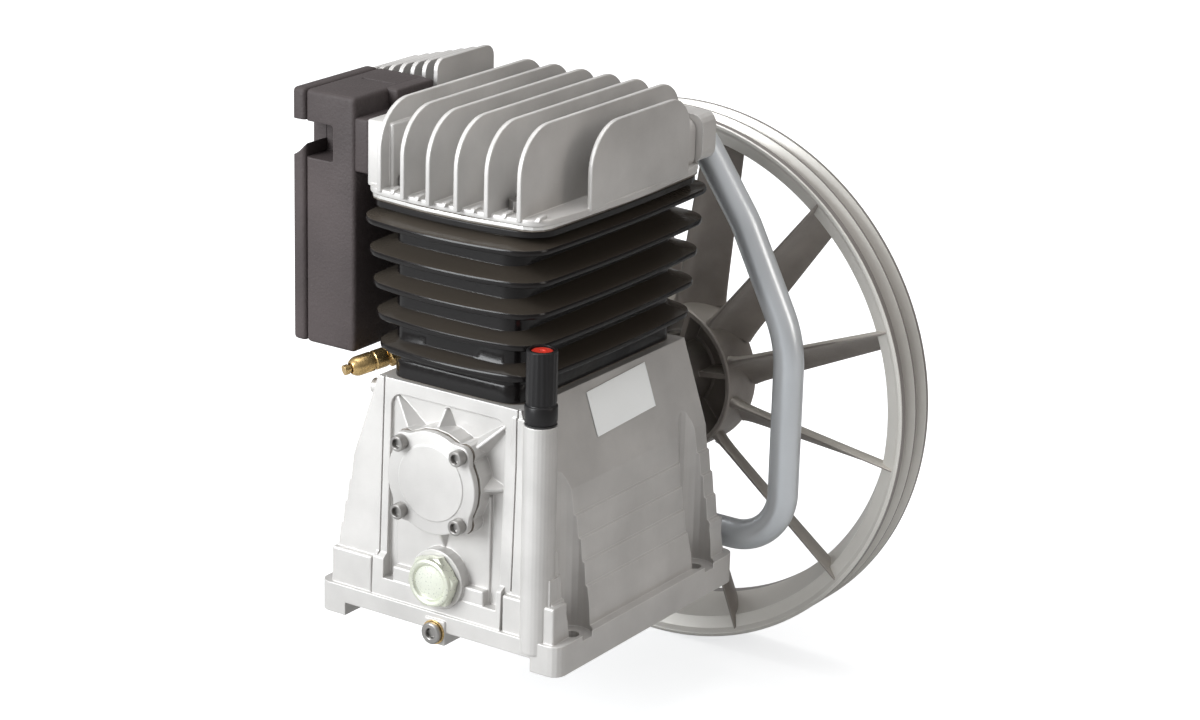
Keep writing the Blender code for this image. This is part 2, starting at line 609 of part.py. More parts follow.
def head_bolts(parent):
    """Long bolts that clamp head, valve plate and cylinders to the crankcase."""
    seat = HEAD_FLOOR + GAP
    for k, (x, y) in enumerate(STUDS, start=1):
        bolt = rod(f"head_bolt_{k}", (x, y, seat), (x, y, seat + 6.5), 7.4, 6)
        add(bolt, rod(f"head_bolt_shank_{k}", (x, y, 153.0), (x, y, seat + 1.0), 4.0, 10))
        piece(bolt, DARK_STEEL, parent, smooth=False)


def delivery_manifold(parent):
    """Finned delivery block on the left of the head, with its outlet pointing down."""
    body = box("delivery_manifold", (-138.0, -66.0 - GAP), (-8.0, 56.0), (292.0, 322.0), 2.0)
    stub = rod("outlet_stub", (-112, 25, 272), (-112, 25, 300), 13.0, 20)
    fins = []
    for k in range(7):
        x = -77.0 - 9.5 * k
        outline = fin_outline(-7.0, 55.0, 354.0 - 2.6 * k, 320.0, (7.0, 8.0))
        fins.append(prism(f"manifold_fin_{k}", outline, "X", (x - 1.5, x + 1.5)))
    add(body, stub, *fins)
    cut(body, box("manifold_chamber", (-132.0, -82.0), (-2.0, 50.0), (297.0, 317.0)))
    cut(body, rod("manifold_inlet", (-100, 25, 303), (-60, 25, 303), 9.0, 14))
    cut(body, rod("manifold_outlet", (-112, 25, 260), (-112, 25, 305), 8.0, 14))
    piece(body, CAST, parent)


# ---- intercooler tube ---------------------------------------------------
def bent_route(corners, radii):
    """Points along straight runs whose corners are rounded by arcs."""
    points = [Vector(corners[0])]
    for before, here, after, radius in zip(corners, corners[1:], corners[2:], radii):
        before, here, after = Vector(before), Vector(here), Vector(after)
        back, ahead = (before - here).normalized(), (after - here).normalized()
        half = back.angle(ahead) / 2
        trim = radius / math.tan(half)
        centre = here + (back + ahead).normalized() * radius / math.sin(half)
        start, end = here + back * trim, here + ahead * trim
        turn = math.pi - 2 * half
        count = max(2, math.ceil(math.degrees(turn) / 15))
        spoke = start - centre
        axis = spoke.cross(end - centre).normalized()
        for i in range(count + 1):
            points.append(centre + Matrix.Rotation(turn * i / count, 3, axis) @ spoke)
    points.append(Vector(corners[-1]))
    return points


def intercooler_tube(parent):
    """Round tube from one rear port, down behind the crankcase and up to the other."""
    start = FLANGE_Y[1] + GAP
    right = [(PORT_X, start, PORT_Z), (PORT_X, TUBE_Y, PORT_Z), (84.0, TUBE_Y, 246.0),
             (121.8, TUBE_Y, 171.0), (121.8, TUBE_Y, 26.0)]
    corners = right + [(-x, y, z) for x, y, z in reversed(right)]
    radii = [17.0, 90.0, 80.0, 38.0]
    curve = bpy.data.curves.new("tube_route", "CURVE")
    curve.dimensions = "3D"
    curve.bevel_depth = TUBE_R * MM
    curve.bevel_resolution = 2
    curve.use_fill_caps = True
    spline = curve.splines.new("POLY")
    route = bent_route(corners, radii + radii[::-1])
    spline.points.add(len(route) - 1)
    for point, place in zip(spline.points, route):
        point.co = (*(place * MM), 1.0)
    guide = bpy.data.objects.new("tube_route", curve)
    PUMP.objects.link(guide)
    bpy.context.view_layer.update()
    shape = guide.evaluated_get(bpy.context.evaluated_depsgraph_get())
    mesh = bpy.data.meshes.new_from_object(shape)
    bpy.data.objects.remove(guide)
    bm = bmesh.new()
    bm.from_mesh(mesh)
    bmesh.ops.remove_doubles(bm, verts=bm.verts, dist=0.00001)
    piece(mesh_object("intercooler_tube", bm), STEEL, parent)
    for side, name in ((1, "tube_flange_right"), (-1, "tube_flange_left")):
        outline = rounded(21.0, 16.0, 8.0, centre=(side * 51.0, 307.6))
        flange = prism(name, outline, "Y", (FLANGE_Y[0] + GAP, FLANGE_Y[1]))
        x = side * PORT_X
        cut(flange, rod(f"{name}_bore", (x, 70, PORT_Z), (x, 110, PORT_Z), 5.5, 12))
        piece(flange, CAST, parent)


# ---- air filter and safety valve ----------------------------------------
def air_filter(parent):
    (x0, x1), (y0, y1), (z0, z1) = FILTER_X, FILTER_Y, FILTER_Z
    split = x0 + 10.5
    notch_z = (z1 - 44.5, z1 - 20.5)
    base = box("air_filter_base", (split + GAP, x1), (y0, y1), (z0, z1), 2.0)
    cut(base, box("filter_room", (split - 10, x1 - 4.5), (y0 + 4, y1 - 4), (z0 + 4, z1 - 26)))
    cut(base, box("intake_mouth", (split - 5, -95.0), (y0 - 5, y0 + 22), notch_z))
    neck = box("filter_neck", (x1 - 3.0, -69.7), (y0 + 1.5, -36.0), (295.5, 330.5), 1.0)
    add(base, neck, box("filter_shelf", (x1 - 3.0, -72.5), (-53.0, y1 - 3.0), (332.6, z1), 1.0))
    cut(base, rod("filter_outlet", (x1 - 20, -47, 303), (x1 + 14, -47, 303), 11.0, 20))
    cut(base, box("latch_slot", (-109.0, -84.0), (-43.5, -41.5), (z1 - 2.5, z1 + 5.0)))
    piece(base, BLACK, parent)
    cover = box("air_filter_cover", (x0, split), (y0, y1), (z0, z1), 2.0)
    cut(cover, box("cover_room", (x0 + 3, split + 5), (y0 + 4, y1 - 4), (z0 + 4, z1 - 47)))
    scoop = [(x0 - 15, z1 - 46.0), (x0 - 15, z1 - 20.5)]
    scoop += [(x0 - 7 + 20.4 * math.cos(a), z1 - 25.6 + 20.4 * math.sin(a))
              for a in (math.radians(14.5 - 9.5 * k) for k in range(12))]
    cut(cover, prism("cover_scoop", scoop, "Y", (y0 - 5, y0 + 22)))
    piece(cover, BLACK, parent)
    foam = box("filter_element", (split + 1.5, x1 - 6.0), (y0 + 5.5, y1 - 5.5),
               (z0 + 5.5, z1 - 50))
    piece(foam, FOAM, parent, smooth=False)


def safety_valve(parent):
    """Brass relief valve that points forward and left from the cylinder foot."""
    way = VALVE_WAY
    start = VALVE_SEAT + way * GAP
    valve = rod("safety_valve", start, start + way * 10.0, 7.6, 6)
    add(valve, rod("valve_barrel", start + way * 8.0, start + way * 32.0, 6.4, 18))
    dome = rod("safety_valve_dome", start + way * 31.5, start + way * 36.0, 6.2, 18, 4.5)
    add(valve, dome)
    cut(valve, rod("valve_mouth", start + way * 26.0, start + way * 45.0, 3.7, 14))
    piece(valve, BRASS, parent)
    tip = start + way * 29.0
    stem = rod("safety_valve_stem", tip, tip + way * 11.0, 2.6, 14)
    add(stem, rod("stem_button", tip + way * 8.5, tip + way * 11.5, 3.4, 14))
    piece(stem, BRASS, parent, origin=tip)


# ---- running gear -------------------------------------------------------
def crankshaft(parent):
    origin = at_crank(0, 0, 0)
    shaft = rod("crankshaft", at_crank(0, -101, 0), at_crank(0, -60, 0), 12.5, 16)
    parts = [rod("rear_journal", at_crank(0, 66, 0), at_crank(0, 112, 0), 17.5, 18),
             rod("wheel_seat", at_crank(0, 110, 0), at_crank(0, 187, 0), 14.0, 16)]
    for k, (y, lift) in enumerate(((LARGE_Y, 1), (SMALL_Y, -1))):
        pin_z = lift * THROW
        parts.append(rod(f"crank_pin_{k}", at_crank(0, y - 12, pin_z), at_crank(0, y + 12, pin_z),
                         11.0, 16))
        for j, side in enumerate((-1, 1)):
            near, far = y + side * 9.5, y + side * 17.0
            cheek = rod(f"cheek_{k}{j}", at_crank(0, near, 0), at_crank(0, far, 0), 33.0, 18)
            parts.append(cheek)
    parts.append(rod("middle_journal", at_crank(0, -30, 0), at_crank(0, 36, 0), 14.0, 14))
    add(shaft, *parts)
    cut(shaft, box("shaft_keyway", (-2.8, 2.8), (139, 167), (CRANK_Z + 11.2, CRANK_Z + 20)))
    cut(shaft, rod("shaft_thread", at_crank(0, 160, 0), at_crank(0, 200, 0), 5.0, 14))
    piece(shaft, DARK_STEEL, parent, origin)
    key = box("flywheel_key", (-2.5, 2.5), (139.5, 166.5), (CRANK_Z + 11.5, CRANK_Z + 16.4))
    piece(key, STEEL, parent, origin, smooth=False)


def rod_and_piston(parent, stage, y, lift, bore, crown, length, skirt_in, pin_r):
    """One connecting rod, and the piston with its pin and ring above it."""
    big = at_crank(0, y, lift * THROW)
    top_z = big[2] + ROD
    link = rod(f"{stage}_connecting_rod", (0, y - 8.8, big[2]), (0, y + 8.8, big[2]), 18.0, 18)
    add(link, rod(f"{stage}_top_eye", (0, y - 6, top_z), (0, y + 6, top_z), 7.5, 12),
        box(f"{stage}_shank", (-5, 5), (y - 5, y + 5), (big[2] + 10, top_z - 2)))
    cut(link, rod(f"{stage}_big_bore", (0, y - 20, big[2]), (0, y + 20, big[2]), 11.3, 16),
        rod(f"{stage}_top_bore", (0, y - 20, top_z), (0, y + 20, top_z), 4.3, 8))
    piece(link, CAST, parent, big)
    wall = bore - 0.6
    piston = turned(f"{stage}_piston", [(0.0, crown), (wall, crown), (wall, crown - 5.0),
                                        (wall - 2.6, crown - 5.0), (wall - 2.6, crown - 8.0),
                                        (wall, crown - 8.0), (wall, crown - length),
                                        (skirt_in, crown - length), (skirt_in, crown - 11.0),
                                        (0.0, crown - 11.0)], (0, y, 0), "Z", 20, closed=False)
    pin_z = crown - length + pin_r + 3.0 if stage == "small" else crown - 27.5
    bosses = [rod(f"{stage}_pin_boss_{k}", (0, y + s * 12.0, pin_z), (0, y + s * (skirt_in + 1), pin_z),
                  pin_r + 2.6, 10) for k, s in enumerate((-1, 1))]
    add(piston, *bosses)
    if stage == "small":
        cut(piston, box("small_boss_trim", (-20, 20), (y - 29, y + 29), (crown - length - 9,
                                                                     crown - length)))
    cut(piston, rod(f"{stage}_pin_bore", (0, y - 60, pin_z), (0, y + 60, pin_z), pin_r + GAP, 10))
    piece(piston, CAST, parent)
    pin = rod(f"{stage}_gudgeon_pin", (0, y - wall + 3, pin_z), (0, y + wall - 3, pin_z), pin_r, 10)
    piece(pin, STEEL, parent)
    band = ring(f"{stage}_piston_ring", wall - 2.3, wall - 0.02, (crown - 7.7, crown - 5.3),
                (0, y, 0), "Z", 20)
    piece(band, DARK_STEEL, parent, smooth=False)


def bearings(parent):
    ring_front = ring("front_bearing", 12.9, 25.7, (-100.0, -86.0), at_crank(0, 0, 0))
    piece(ring_front, STEEL, parent)
    profile = [(46.0, 108.0), (46.0, 100.0 + GAP), (35.7, 100.0 + GAP), (35.7, 84.0), (31.4, 84.0),
               (31.4, 103.0), (26.2, 103.0), (26.2, 108.0)]
    housing = turned("rear_bearing_housing", profile, at_crank(0, 0, 0), "Y", 22)
    cut(housing, housing_holes("housing_bolt_holes", 98.0, 112.0, 3.2))
    piece(housing, CAST, parent)
    rear = ring("rear_bearing", 18.1, 30.7, (86.0, 102.5), at_crank(0, 0, 0))
    piece(rear, STEEL, parent)
    seal = ring("oil_seal", 18.1, 25.5, (103.3, 107.6), at_crank(0, 0, 0))
    piece(seal, RUBBER, parent)
    for k, x, z in housing_places():
        seat = 108.0 + GAP
        bolt = rod(f"housing_screw_{k + 1}", at_crank(x, seat, z), at_crank(x, seat + 4, z), 5.2, 6)
        add(bolt, rod(f"housing_shank_{k}", at_crank(x, 92, z), at_crank(x, seat + 1, z), 2.05, 8))
        piece(bolt, DARK_STEEL, parent, smooth=False)


RIM_INSIDE = ((187.4, WHEEL_FRONT), (184.5, WHEEL_FRONT + 2.5), (176.5, WHEEL_FRONT + 5.0),
              (166.0, WHEEL_REAR - 8.0), (166.0, WHEEL_REAR))


def rim_profile():
    """Section of the belt rim, rear to front outside: two V grooves, coned inside."""
    land_rear, groove, land_mid, depth = 3.6, 12.7, 2.6, 10.0
    taper = depth * math.tan(math.radians(17))
    points = [(WHEEL_R, WHEEL_REAR)]
    y = WHEEL_REAR - land_rear
    for _ in range(2):
        points += [(WHEEL_R, y), (WHEEL_R - depth, y - taper),
                   (WHEEL_R - depth, y - groove + taper), (WHEEL_R, y - groove)]
        y -= groove + land_mid
    return points + [(WHEEL_R, WHEEL_FRONT)] + list(RIM_INSIDE)


def rim_inside(y):
    """Radius of the rim's inner surface at a place along the axis."""
    for (r0, y0), (r1, y1) in zip(RIM_INSIDE, RIM_INSIDE[1:]):
        if y <= y1:
            return r0 + (r1 - r0) * (y - y0) / (y1 - y0)
    return RIM_INSIDE[-1][0]


def fan_blade(name, angle):
    """One spoke: straight along the axis at its front half, swept behind, like a fan's."""
    out = Vector((math.cos(angle), 0.0, math.sin(angle)))
    side = Vector((-math.sin(angle), 0.0, math.cos(angle)))
    loops = []
    for part in (0.0, 1.0):
        sweep = 21.0 + (14.0 - 21.0) * part
        thick = 4.6 + (3.2 - 4.6) * part
        line = [(WHEEL_FRONT + 1.5, 0.0), (WHEEL_FRONT + 5.0, -0.04 * sweep),
                (WHEEL_FRONT + 17.0, -0.2 * sweep), (WHEEL_REAR - 5.0, -sweep)]
        loop = []
        for edge in (0.5, -0.5):
            run = line if edge > 0 else line[::-1]
            for y, shift in run:
                radius = 53.5 + (rim_inside(y) + 2.2 - 53.5) * part
                point = out * radius + side * (shift + edge * thick)
                loop.append(at_crank(point.x, y, point.z))
        loops.append(loop)
    return loft(name, loops, strip=True)


def flywheel(parent):
    wheel = turned("flywheel", rim_profile(), at_crank(0, 0, 0), "Y", 60)
    hub_profile = [(56.0, 189.0), (55.5, WHEEL_FRONT), (51.5, WHEEL_FRONT), (51.0, 182.0),
                   (27.0, 182.0), (25.0, 130.0), (14.4, 130.0), (14.4, 189.0)]
    hub = turned("wheel_hub", hub_profile, at_crank(0, 0, 0), "Y", 24)
    blades = [fan_blade(f"blade_{k}", math.radians(BLADE_PHASE + 360 / BLADES * k))
              for k in range(BLADES)]
    add(wheel, hub, join_meshes("blades", blades))
    holes = []
    for k in range(6):
        angle = math.radians(60 * k + 40)
        x, z = 39.0 * math.cos(angle), 39.0 * math.sin(angle)
        holes.append(rod(f"hub_hole_{k}", at_crank(x, 170, z), at_crank(x, 200, z), 4.5, 6))
    cut(wheel, join_meshes("hub_holes", holes))
    cut(wheel, box("hub_keyway", (-2.8, 2.8), (120, 200), (CRANK_Z + 10, CRANK_Z + 16.8)))
    piece(wheel, CAST, parent)
    washer = ring("flywheel_washer", 5.4, 17.5, (189.3, 192.2), at_crank(0, 0, 0), "Y", 16)
    piece(washer, STEEL, parent)
    bolt = rod("flywheel_bolt", at_crank(0, 192.5, 0), at_crank(0, 199.0, 0), 9.6, 6)
    add(bolt, rod("wheel_bolt_shank", at_crank(0, 162, 0), at_crank(0, 193.5, 0), 4.65, 12))
    piece(bolt, DARK_STEEL, parent, at_crank(0, 0, 0), smooth=False)


# ---- assembly -----------------------------------------------------------
def empty(name, place, parent=None):
    obj = bpy.data.objects.new(name, None)
    obj.location = Vector(place) * MM
    obj.parent = parent
    PUMP.objects.link(obj)
    return obj


def main():
    global PUMP, TOOLS
    clear_scene()
    PUMP = collection("compressor_pump")
    TOOLS = collection("cutters")
    frame = empty("pump_frame", (0, 0, 0))
    crankcase(frame)
    front_cover(frame)
    sight_glass(frame)
    drain_plug(frame)
    filler_cap(frame)
    small_fittings(frame)
    cylinder_block(frame)
    joint_layers(frame)
    head_gasket(frame)
    cylinder_head(frame)
    head_bolts(frame)
    delivery_manifold(frame)
    intercooler_tube(frame)
    air_filter(frame)
    safety_valve(frame)
    crankshaft(frame)
    rod_and_piston(frame, "large", LARGE_Y, 1, LARGE_R, BLOCK_TOP - 0.5, 50.0, 38.5, 6.0)
    small_crown = BLOCK_TOP - 0.5 - 2 * THROW
    rod_and_piston(frame, "small", SMALL_Y, -1, SMALL_R, small_crown, 31.0, 25.5, 5.0)
    bearings(frame)
    flywheel(frame)


main()
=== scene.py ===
"""Looks of the belt-driven compressor pump: fine meshes, materials, light and camera.

The frame's origin is the middle of the plane under the base rails, +Y runs along
the crank axis to the flywheel and +Z is up.  Sizes are in millimetres and the
helpers turn them into metres.
"""

import math

import bmesh
import bpy
from mathutils import Matrix, Vector


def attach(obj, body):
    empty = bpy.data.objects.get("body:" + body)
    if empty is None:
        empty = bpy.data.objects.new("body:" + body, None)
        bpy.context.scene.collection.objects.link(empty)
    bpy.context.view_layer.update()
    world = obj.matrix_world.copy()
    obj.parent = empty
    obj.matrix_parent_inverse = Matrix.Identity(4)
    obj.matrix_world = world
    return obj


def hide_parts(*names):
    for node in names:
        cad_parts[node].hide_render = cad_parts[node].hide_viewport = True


MM = 0.001

# Sizes shared with the solid model.
CRANK_Z = 111.5
HEAD_LOW, HEAD_FLOOR, HEAD_TOP = 286.6, 291.0, 346.0
BLOCK_LOW, BLOCK_TOP = 168.0, 283.0
BORES = ((-44.0, 45.0), (50.0, 31.0))        # place along Y and radius of each cylinder
FIN_PITCH = 21.43                            # of the head's fins, along X
COVER_FACE, SCREW_AT = -111.2, 23.0
WHEEL_R, WHEEL_FRONT, WHEEL_REAR = 190.0, 155.0, 192.0
BLADES, BLADE_PHASE = 12, -9.0
TUBE_R, TUBE_Y = 10.3, 120.0
PORT_X, PORT_Z, PORT_Y = 42.5, 305.0, 98.3
GLASS_Z, GLASS_FACE = 44.0, -104.3
PIPE_X, PIPE_Y, PIPE_TOP = 73.0, -96.0, 163.0
FILTER_X, FILTER_Y, FILTER_Z = (-130.0, -79.6), (-88.0, -11.5), (175.2, 343.5)
FIN_REAR = 0.35                              # share of the swell at the block fins' rear edge
VALVE_SEAT = Vector((-61.0, -64.0, 174.2))
VALVE_WAY = Vector((-0.42, -0.89, -0.17)).normalized()
HEAD_FINS, HEAD_FIN_HALF = 7, 1.7            # how many, and half of a fin's thickness
HEAD_FIN_FOOT, HEAD_FIN_ROUNDS = 289.0, (30.0, 22.0)
HEAD_BOW = 0.0024                            # how fast the front edge falls back beside X = 0
BLOCK_FINS, BLOCK_FIN_LOW, BLOCK_FIN_STEP = 5, 187.0, 21.0
BELT_GROOVES, GROOVE_LEAN = 2, 17.0          # the lean of a groove's walls is in degrees
BLADE_FRONT, BLADE_SPAN = WHEEL_FRONT + 1.5, 30.5
BLADE_ROOT, BLADE_SINK = 53.5, 1.6           # radius at the hub, and depth into the rim
FRONT_FACING = -0.3                          # a face whose normal's Y is less looks forward and takes the rim's lit copy; the rest take the painted-shade copy
FLOOR_TOP = -78.6                            # 0.1 under the wheel's rim

# Meshing, in degrees.
SOFTEN_FROM = 25.0                           # flatter edges than this aren't rounded
CREASE, CUT_CREASE = 32.0, 35.0              # sharper edges than this are shaded crisp

# Shading.
COLOUR_A, COLOUR_B, COLOUR_OUT = 6, 7, 2     # sockets of a Mix node that mixes colours
WHITE = (1.0, 1.0, 1.0)
COAT_ROUGHNESS, LEAST_ROUGHNESS = 0.08, 0.03
PATCH_DETAIL, PATCH_SPAN = 5.0, (0.32, 0.68)
GRAIN_DETAIL, GRAIN_SPAN = 3.0, (0.3, 0.7)
EDGE_SAMPLES, EDGE_SPAN = 6, (0.995, 0.88)   # the span is of the cosine at a rounded edge
TOP_LIGHT_SPAN = (0.55, 0.97)                     # how far up a face looks before it takes the painted top light
WORN_GAIN, WORN_LIFT = 1.5, 0.04             # how much lighter a worn edge is
FLOOR_GREY, FLOOR_GLOW = (0.5, 0.5, 0.5), (0.98, 0.99, 1.0)
FLOOR_ROUGHNESS = 0.9
GLOW_SPAN = (0.25, 1.1)                      # metres from the frame's origin
GLOW_NEAR, GLOW_FAR = 0.72, 0.95             # strength at the two ends of that span

# Light: name, place, size, power and colour of each lamp, all aimed at one point.
LIGHT_TARGET = (0.0, 0.0, 0.17)
LAMPS = (("key", (-0.8, -1.8, 1.0), (1.1, 1.3), 64, (0.95, 0.98, 1.0)),
         ("top", (-0.1, 0.0, 1.7), (1.3, 1.3), 14, WHITE),
         ("side", (1.9, 0.3, 0.9), (0.6, 1.2), 7, (1.0, 0.94, 0.88)))
SKY_WAY, SKY_STRENGTH = (-0.45, -0.35, 0.82), 0.62
SKY_DARK, SKY_LIGHT = (0.25, (0.21, 0.192, 0.178)), (0.9, WHITE)

# Camera: azimuth, elevation and roll in degrees, place in metres, lens and sensor in mm.
CAMERA_TURN = (33.71, 18.58, 1.51)
CAMERA_PLACE = (1.15395, -1.65233, 0.84272)
CAMERA_LENS, CAMERA_SENSOR, CAMERA_REACH = 97.86, 36.0, 50.0


# ---- meshes -------------------------------------------------------------
def soften(bm, size, segments=2):
    """Round every edge that isn't nearly flat."""
    bmesh.ops.recalc_face_normals(bm, faces=bm.faces)
    least = math.radians(SOFTEN_FROM)
    sharp = [e for e in bm.edges if e.is_manifold and e.calc_face_angle(0) > least]
    bmesh.ops.bevel(bm, geom=sharp, offset=size * MM, segments=segments, profile=0.5,
                    affect="EDGES", clamp_overlap=True)


def box_mesh(x, y, z, bevel=1.0, segments=3):
    """A box between two limits on each axis, with rounded edges."""
    bm = bmesh.new()
    bmesh.ops.create_cube(bm, size=1.0)
    for vert in bm.verts:
        vert.co = Vector([lo + (c + 0.5) * (hi - lo)
                          for c, (lo, hi) in zip(vert.co, (x, y, z))]) * MM
    if bevel:
        soften(bm, bevel, segments)
    return bm


def prism_mesh(outline, axis, span, bevel=0.0, segments=2):
    """An outline across the axis, extruded along it, with its two rims rounded."""
    places = {"X": lambda a, b, c: (c, a, b), "Y": lambda a, b, c: (a, c, b),
              "Z": lambda a, b, c: (a, b, c)}
    place = places[axis]
    bm = bmesh.new()
    face = bm.faces.new([bm.verts.new(Vector(place(a, b, span[0])) * MM) for a, b in outline])
    pulled = bmesh.ops.extrude_face_region(bm, geom=[face])["geom"]
    move = Vector(place(0.0, 0.0, span[1] - span[0])) * MM
    ends = [v for v in pulled if isinstance(v, bmesh.types.BMVert)]
    bmesh.ops.translate(bm, vec=move, verts=ends)
    if bevel:
        soften(bm, bevel, segments)
    return bm


def lathe_mesh(profile, centre, along=(0, 1, 0), steps=64, ripple=None):
    """A closed profile of (radius, distance) turned about an axis through the centre.

    A ripple changes a radius by where it is round the axis, as knurling does.
    """
    aim = Vector(along).to_track_quat("Z", "Y")
    bm = bmesh.new()
    rings = []
    for i in range(steps):
        angle = 2 * math.pi * i / steps
        ring = []
        for r, h in profile:
            size = r if ripple is None else ripple(r, h, angle)
            spoke = Vector((size * math.cos(angle), size * math.sin(angle), h))
            ring.append(bm.verts.new((Vector(centre) + aim @ spoke) * MM))
        rings.append(ring)
    count = len(profile)
    for a, b in zip(rings, rings[1:] + rings[:1]):
        for i in range(count):
            j = (i + 1) % count
            if profile[i][0] == 0.0 and profile[j][0] == 0.0:
                continue
            corners = [a[i], a[j], b[j], b[i]]
            if profile[i][0] == 0.0:
                corners = [a[i], a[j], b[j]]
            elif profile[j][0] == 0.0:
                corners = [a[i], a[j], b[i]]
            bm.faces.new(corners)
    return bm


def loft_mesh(loops, cap=True):
    """A skin over loops of points, closed at both ends unless cap is off."""
    bm = bmesh.new()
    rows = [[bm.verts.new(Vector(p) * MM) for p in loop] for loop in loops]
    count = len(rows[0])
    for low, high in zip(rows, rows[1:]):
        for i in range(count):
            j = (i + 1) % count
            bm.faces.new((low[i], low[j], high[j], high[i]))
    if cap:
        bm.faces.new(rows[0][::-1])
        bm.faces.new(rows[-1])
    return bm


def together(name, meshes, crease=CREASE):
    """Several bmeshes in one object, smooth but for edges sharper than the crease."""
    whole = bmesh.new()
    for bm in meshes:
        part = bpy.data.meshes.new("part")
        bmesh.ops.recalc_face_normals(bm, faces=bm.faces)
        bm.to_mesh(part)
        bm.free()
        whole.from_mesh(part)
        bpy.data.meshes.remove(part)
    mesh = bpy.data.meshes.new(name)
    whole.to_mesh(mesh)
    whole.free()
    mesh.shade_smooth()
    mesh.set_sharp_from_angle(angle=math.radians(crease))
    obj = bpy.data.objects.new(name, mesh)
    bpy.context.scene.collection.objects.link(obj)
    return obj


def rounded(half_a, half_b, radius, segments=8, centre=(0.0, 0.0)):
    """Outline of a rectangle with round corners."""
    points = []
    for k, (sa, sb) in enumerate(((1, 1), (-1, 1), (-1, -1), (1, -1))):
        for i in range(segments + 1):
            angle = math.pi / 2 * (k + i / segments)
            points.append((centre[0] + sa * (half_a - radius) + radius * math.cos(angle),
                           centre[1] + sb * (half_b - radius) + radius * math.sin(angle)))
    return points


def pillow(half_x, half_y, bulge_x, bulge_y, rear=1.0, radius=12.0):
    """A rectangle with round corners whose sides swell towards their middle.

    Its rear edge swells by only a share of the front one's bulge.
    """
    segments, side_steps = 9, 11
    corners = rounded(half_x, half_y, radius, segments)
    points = []
    for i, here in enumerate(corners):
        points.append(here)
        if i % (segments + 1) == segments:
            after = corners[(i + 1) % len(corners)]
            points += [tuple(a + (b - a) * k / side_steps for a, b in zip(here, after))
                       for k in range(1, side_steps)]
    return [(x * (1 - bulge_x / half_x * (y / half_y) ** 2),
             y * (1 - bulge_y * (rear if y > 0 else 1.0) / half_y * (x / half_x) ** 2))
            for x, y in points]


# ---- materials ----------------------------------------------------------
def input_of(node, value, name):
    """Set an input, by its name or its number."""
    node.inputs[name].default_value = value


def remap(tree, value, span, low=0.0, high=1.0):
    """A socket that turns a span of a value into low to high."""
    node = tree.nodes.new("ShaderNodeMapRange")
    for number, name in zip((*span, low, high), ("From Min", "From Max", "To Min", "To Max")):
        input_of(node, number, name)
    tree.links.new(value, node.inputs["Value"])
    return node.outputs["Result"]


def ramp(tree, value, *stops):
    """A socket that runs from one (position, colour) to another."""
    node = tree.nodes.new("ShaderNodeValToRGB")
    for element, (position, colour) in zip(node.color_ramp.elements, stops):
        element.position = position
        element.color = (*colour, 1.0)
    tree.links.new(value, node.inputs["Fac"])
    return node.outputs["Color"]


def noise(tree, place, scale, detail):
    """A socket that wanders between 0 and 1 over a surface."""
    node = tree.nodes.new("ShaderNodeTexNoise")
    input_of(node, scale, "Scale")
    input_of(node, detail, "Detail")
    tree.links.new(place, node.inputs["Vector"])
    return node.outputs["Fac"]


def tint(tree, share, under, over):
    """A socket that covers a colour with a fixed one, by a share."""
    node = tree.nodes.new("ShaderNodeMix")
    node.data_type = "RGBA"
    input_of(node, (*over, 1.0), COLOUR_B)
    tree.links.new(share, node.inputs["Factor"])
    tree.links.new(under, node.inputs[COLOUR_A])
    return node.outputs[COLOUR_OUT]


def new_material(name):
    """A material with its node tree and its shader."""
    mat = bpy.data.materials.new(name)
    mat.use_nodes = True
    return mat, mat.node_tree, mat.node_tree.nodes["Principled BSDF"]


def surface(name, colour, roughness, metallic=0.0, vary=0.12, blotch=14.0, grain=700.0,
            grain_depth=0.00004, edge=0.0007, edge_light=0.35, coat=0.0, rough_vary=0.06,
            alpha=1.0, specular=0.5, painted_top_light=None):
    """One procedural finish: patchy colour, fine grain, soft and slightly worn edges."""
    mat, tree, shader = new_material(name)
    nodes, links = tree.nodes, tree.links
    for value, socket in ((metallic, "Metallic"), (coat, "Coat Weight"),
                          (COAT_ROUGHNESS, "Coat Roughness"),
                          (specular, "Specular IOR Level"), (alpha, "Alpha")):
        input_of(shader, value, socket)
    place = nodes.new("ShaderNodeTexCoord").outputs["Object"]
    shades = [[min(1.0, c * (1 + share)) for c in colour] for share in (-vary, vary)]
    shade = ramp(tree, noise(tree, place, blotch, PATCH_DETAIL), *zip(PATCH_SPAN, shades))

    fine = noise(tree, place, grain, GRAIN_DETAIL)
    gloss = remap(tree, fine, GRAIN_SPAN, max(LEAST_ROUGHNESS, roughness - rough_vary),
                  roughness + rough_vary)
    links.new(gloss, shader.inputs["Roughness"])

    round_edge = nodes.new("ShaderNodeBevel")
    round_edge.samples = EDGE_SAMPLES
    input_of(round_edge, edge, "Radius")
    bump = nodes.new("ShaderNodeBump")
    input_of(bump, 1.0, "Strength")
    input_of(bump, grain_depth, "Distance")
    links.new(fine, bump.inputs["Height"])
    links.new(round_edge.outputs["Normal"], bump.inputs["Normal"])
    links.new(bump.outputs["Normal"], shader.inputs["Normal"])

    face = nodes.new("ShaderNodeNewGeometry").outputs["Normal"]
    match = nodes.new("ShaderNodeVectorMath")
    match.operation = "DOT_PRODUCT"
    links.new(round_edge.outputs["Normal"], match.inputs[0])
    links.new(face, match.inputs[1])
    wear = remap(tree, match.outputs["Value"], EDGE_SPAN, 0.0, edge_light)
    worn = [min(1.0, c * WORN_GAIN + WORN_LIFT) for c in colour]
    shade = tint(tree, wear, shade, worn)
    if painted_top_light:  # painted light: faces that look up are tinted, standing in for the light and reflection they catch from above
        parts = nodes.new("ShaderNodeSeparateXYZ")
        links.new(face, parts.inputs["Vector"])
        shade = tint(tree, remap(tree, parts.outputs["Z"], TOP_LIGHT_SPAN), shade, painted_top_light)
    links.new(shade, shader.inputs["Base Color"])
    return mat


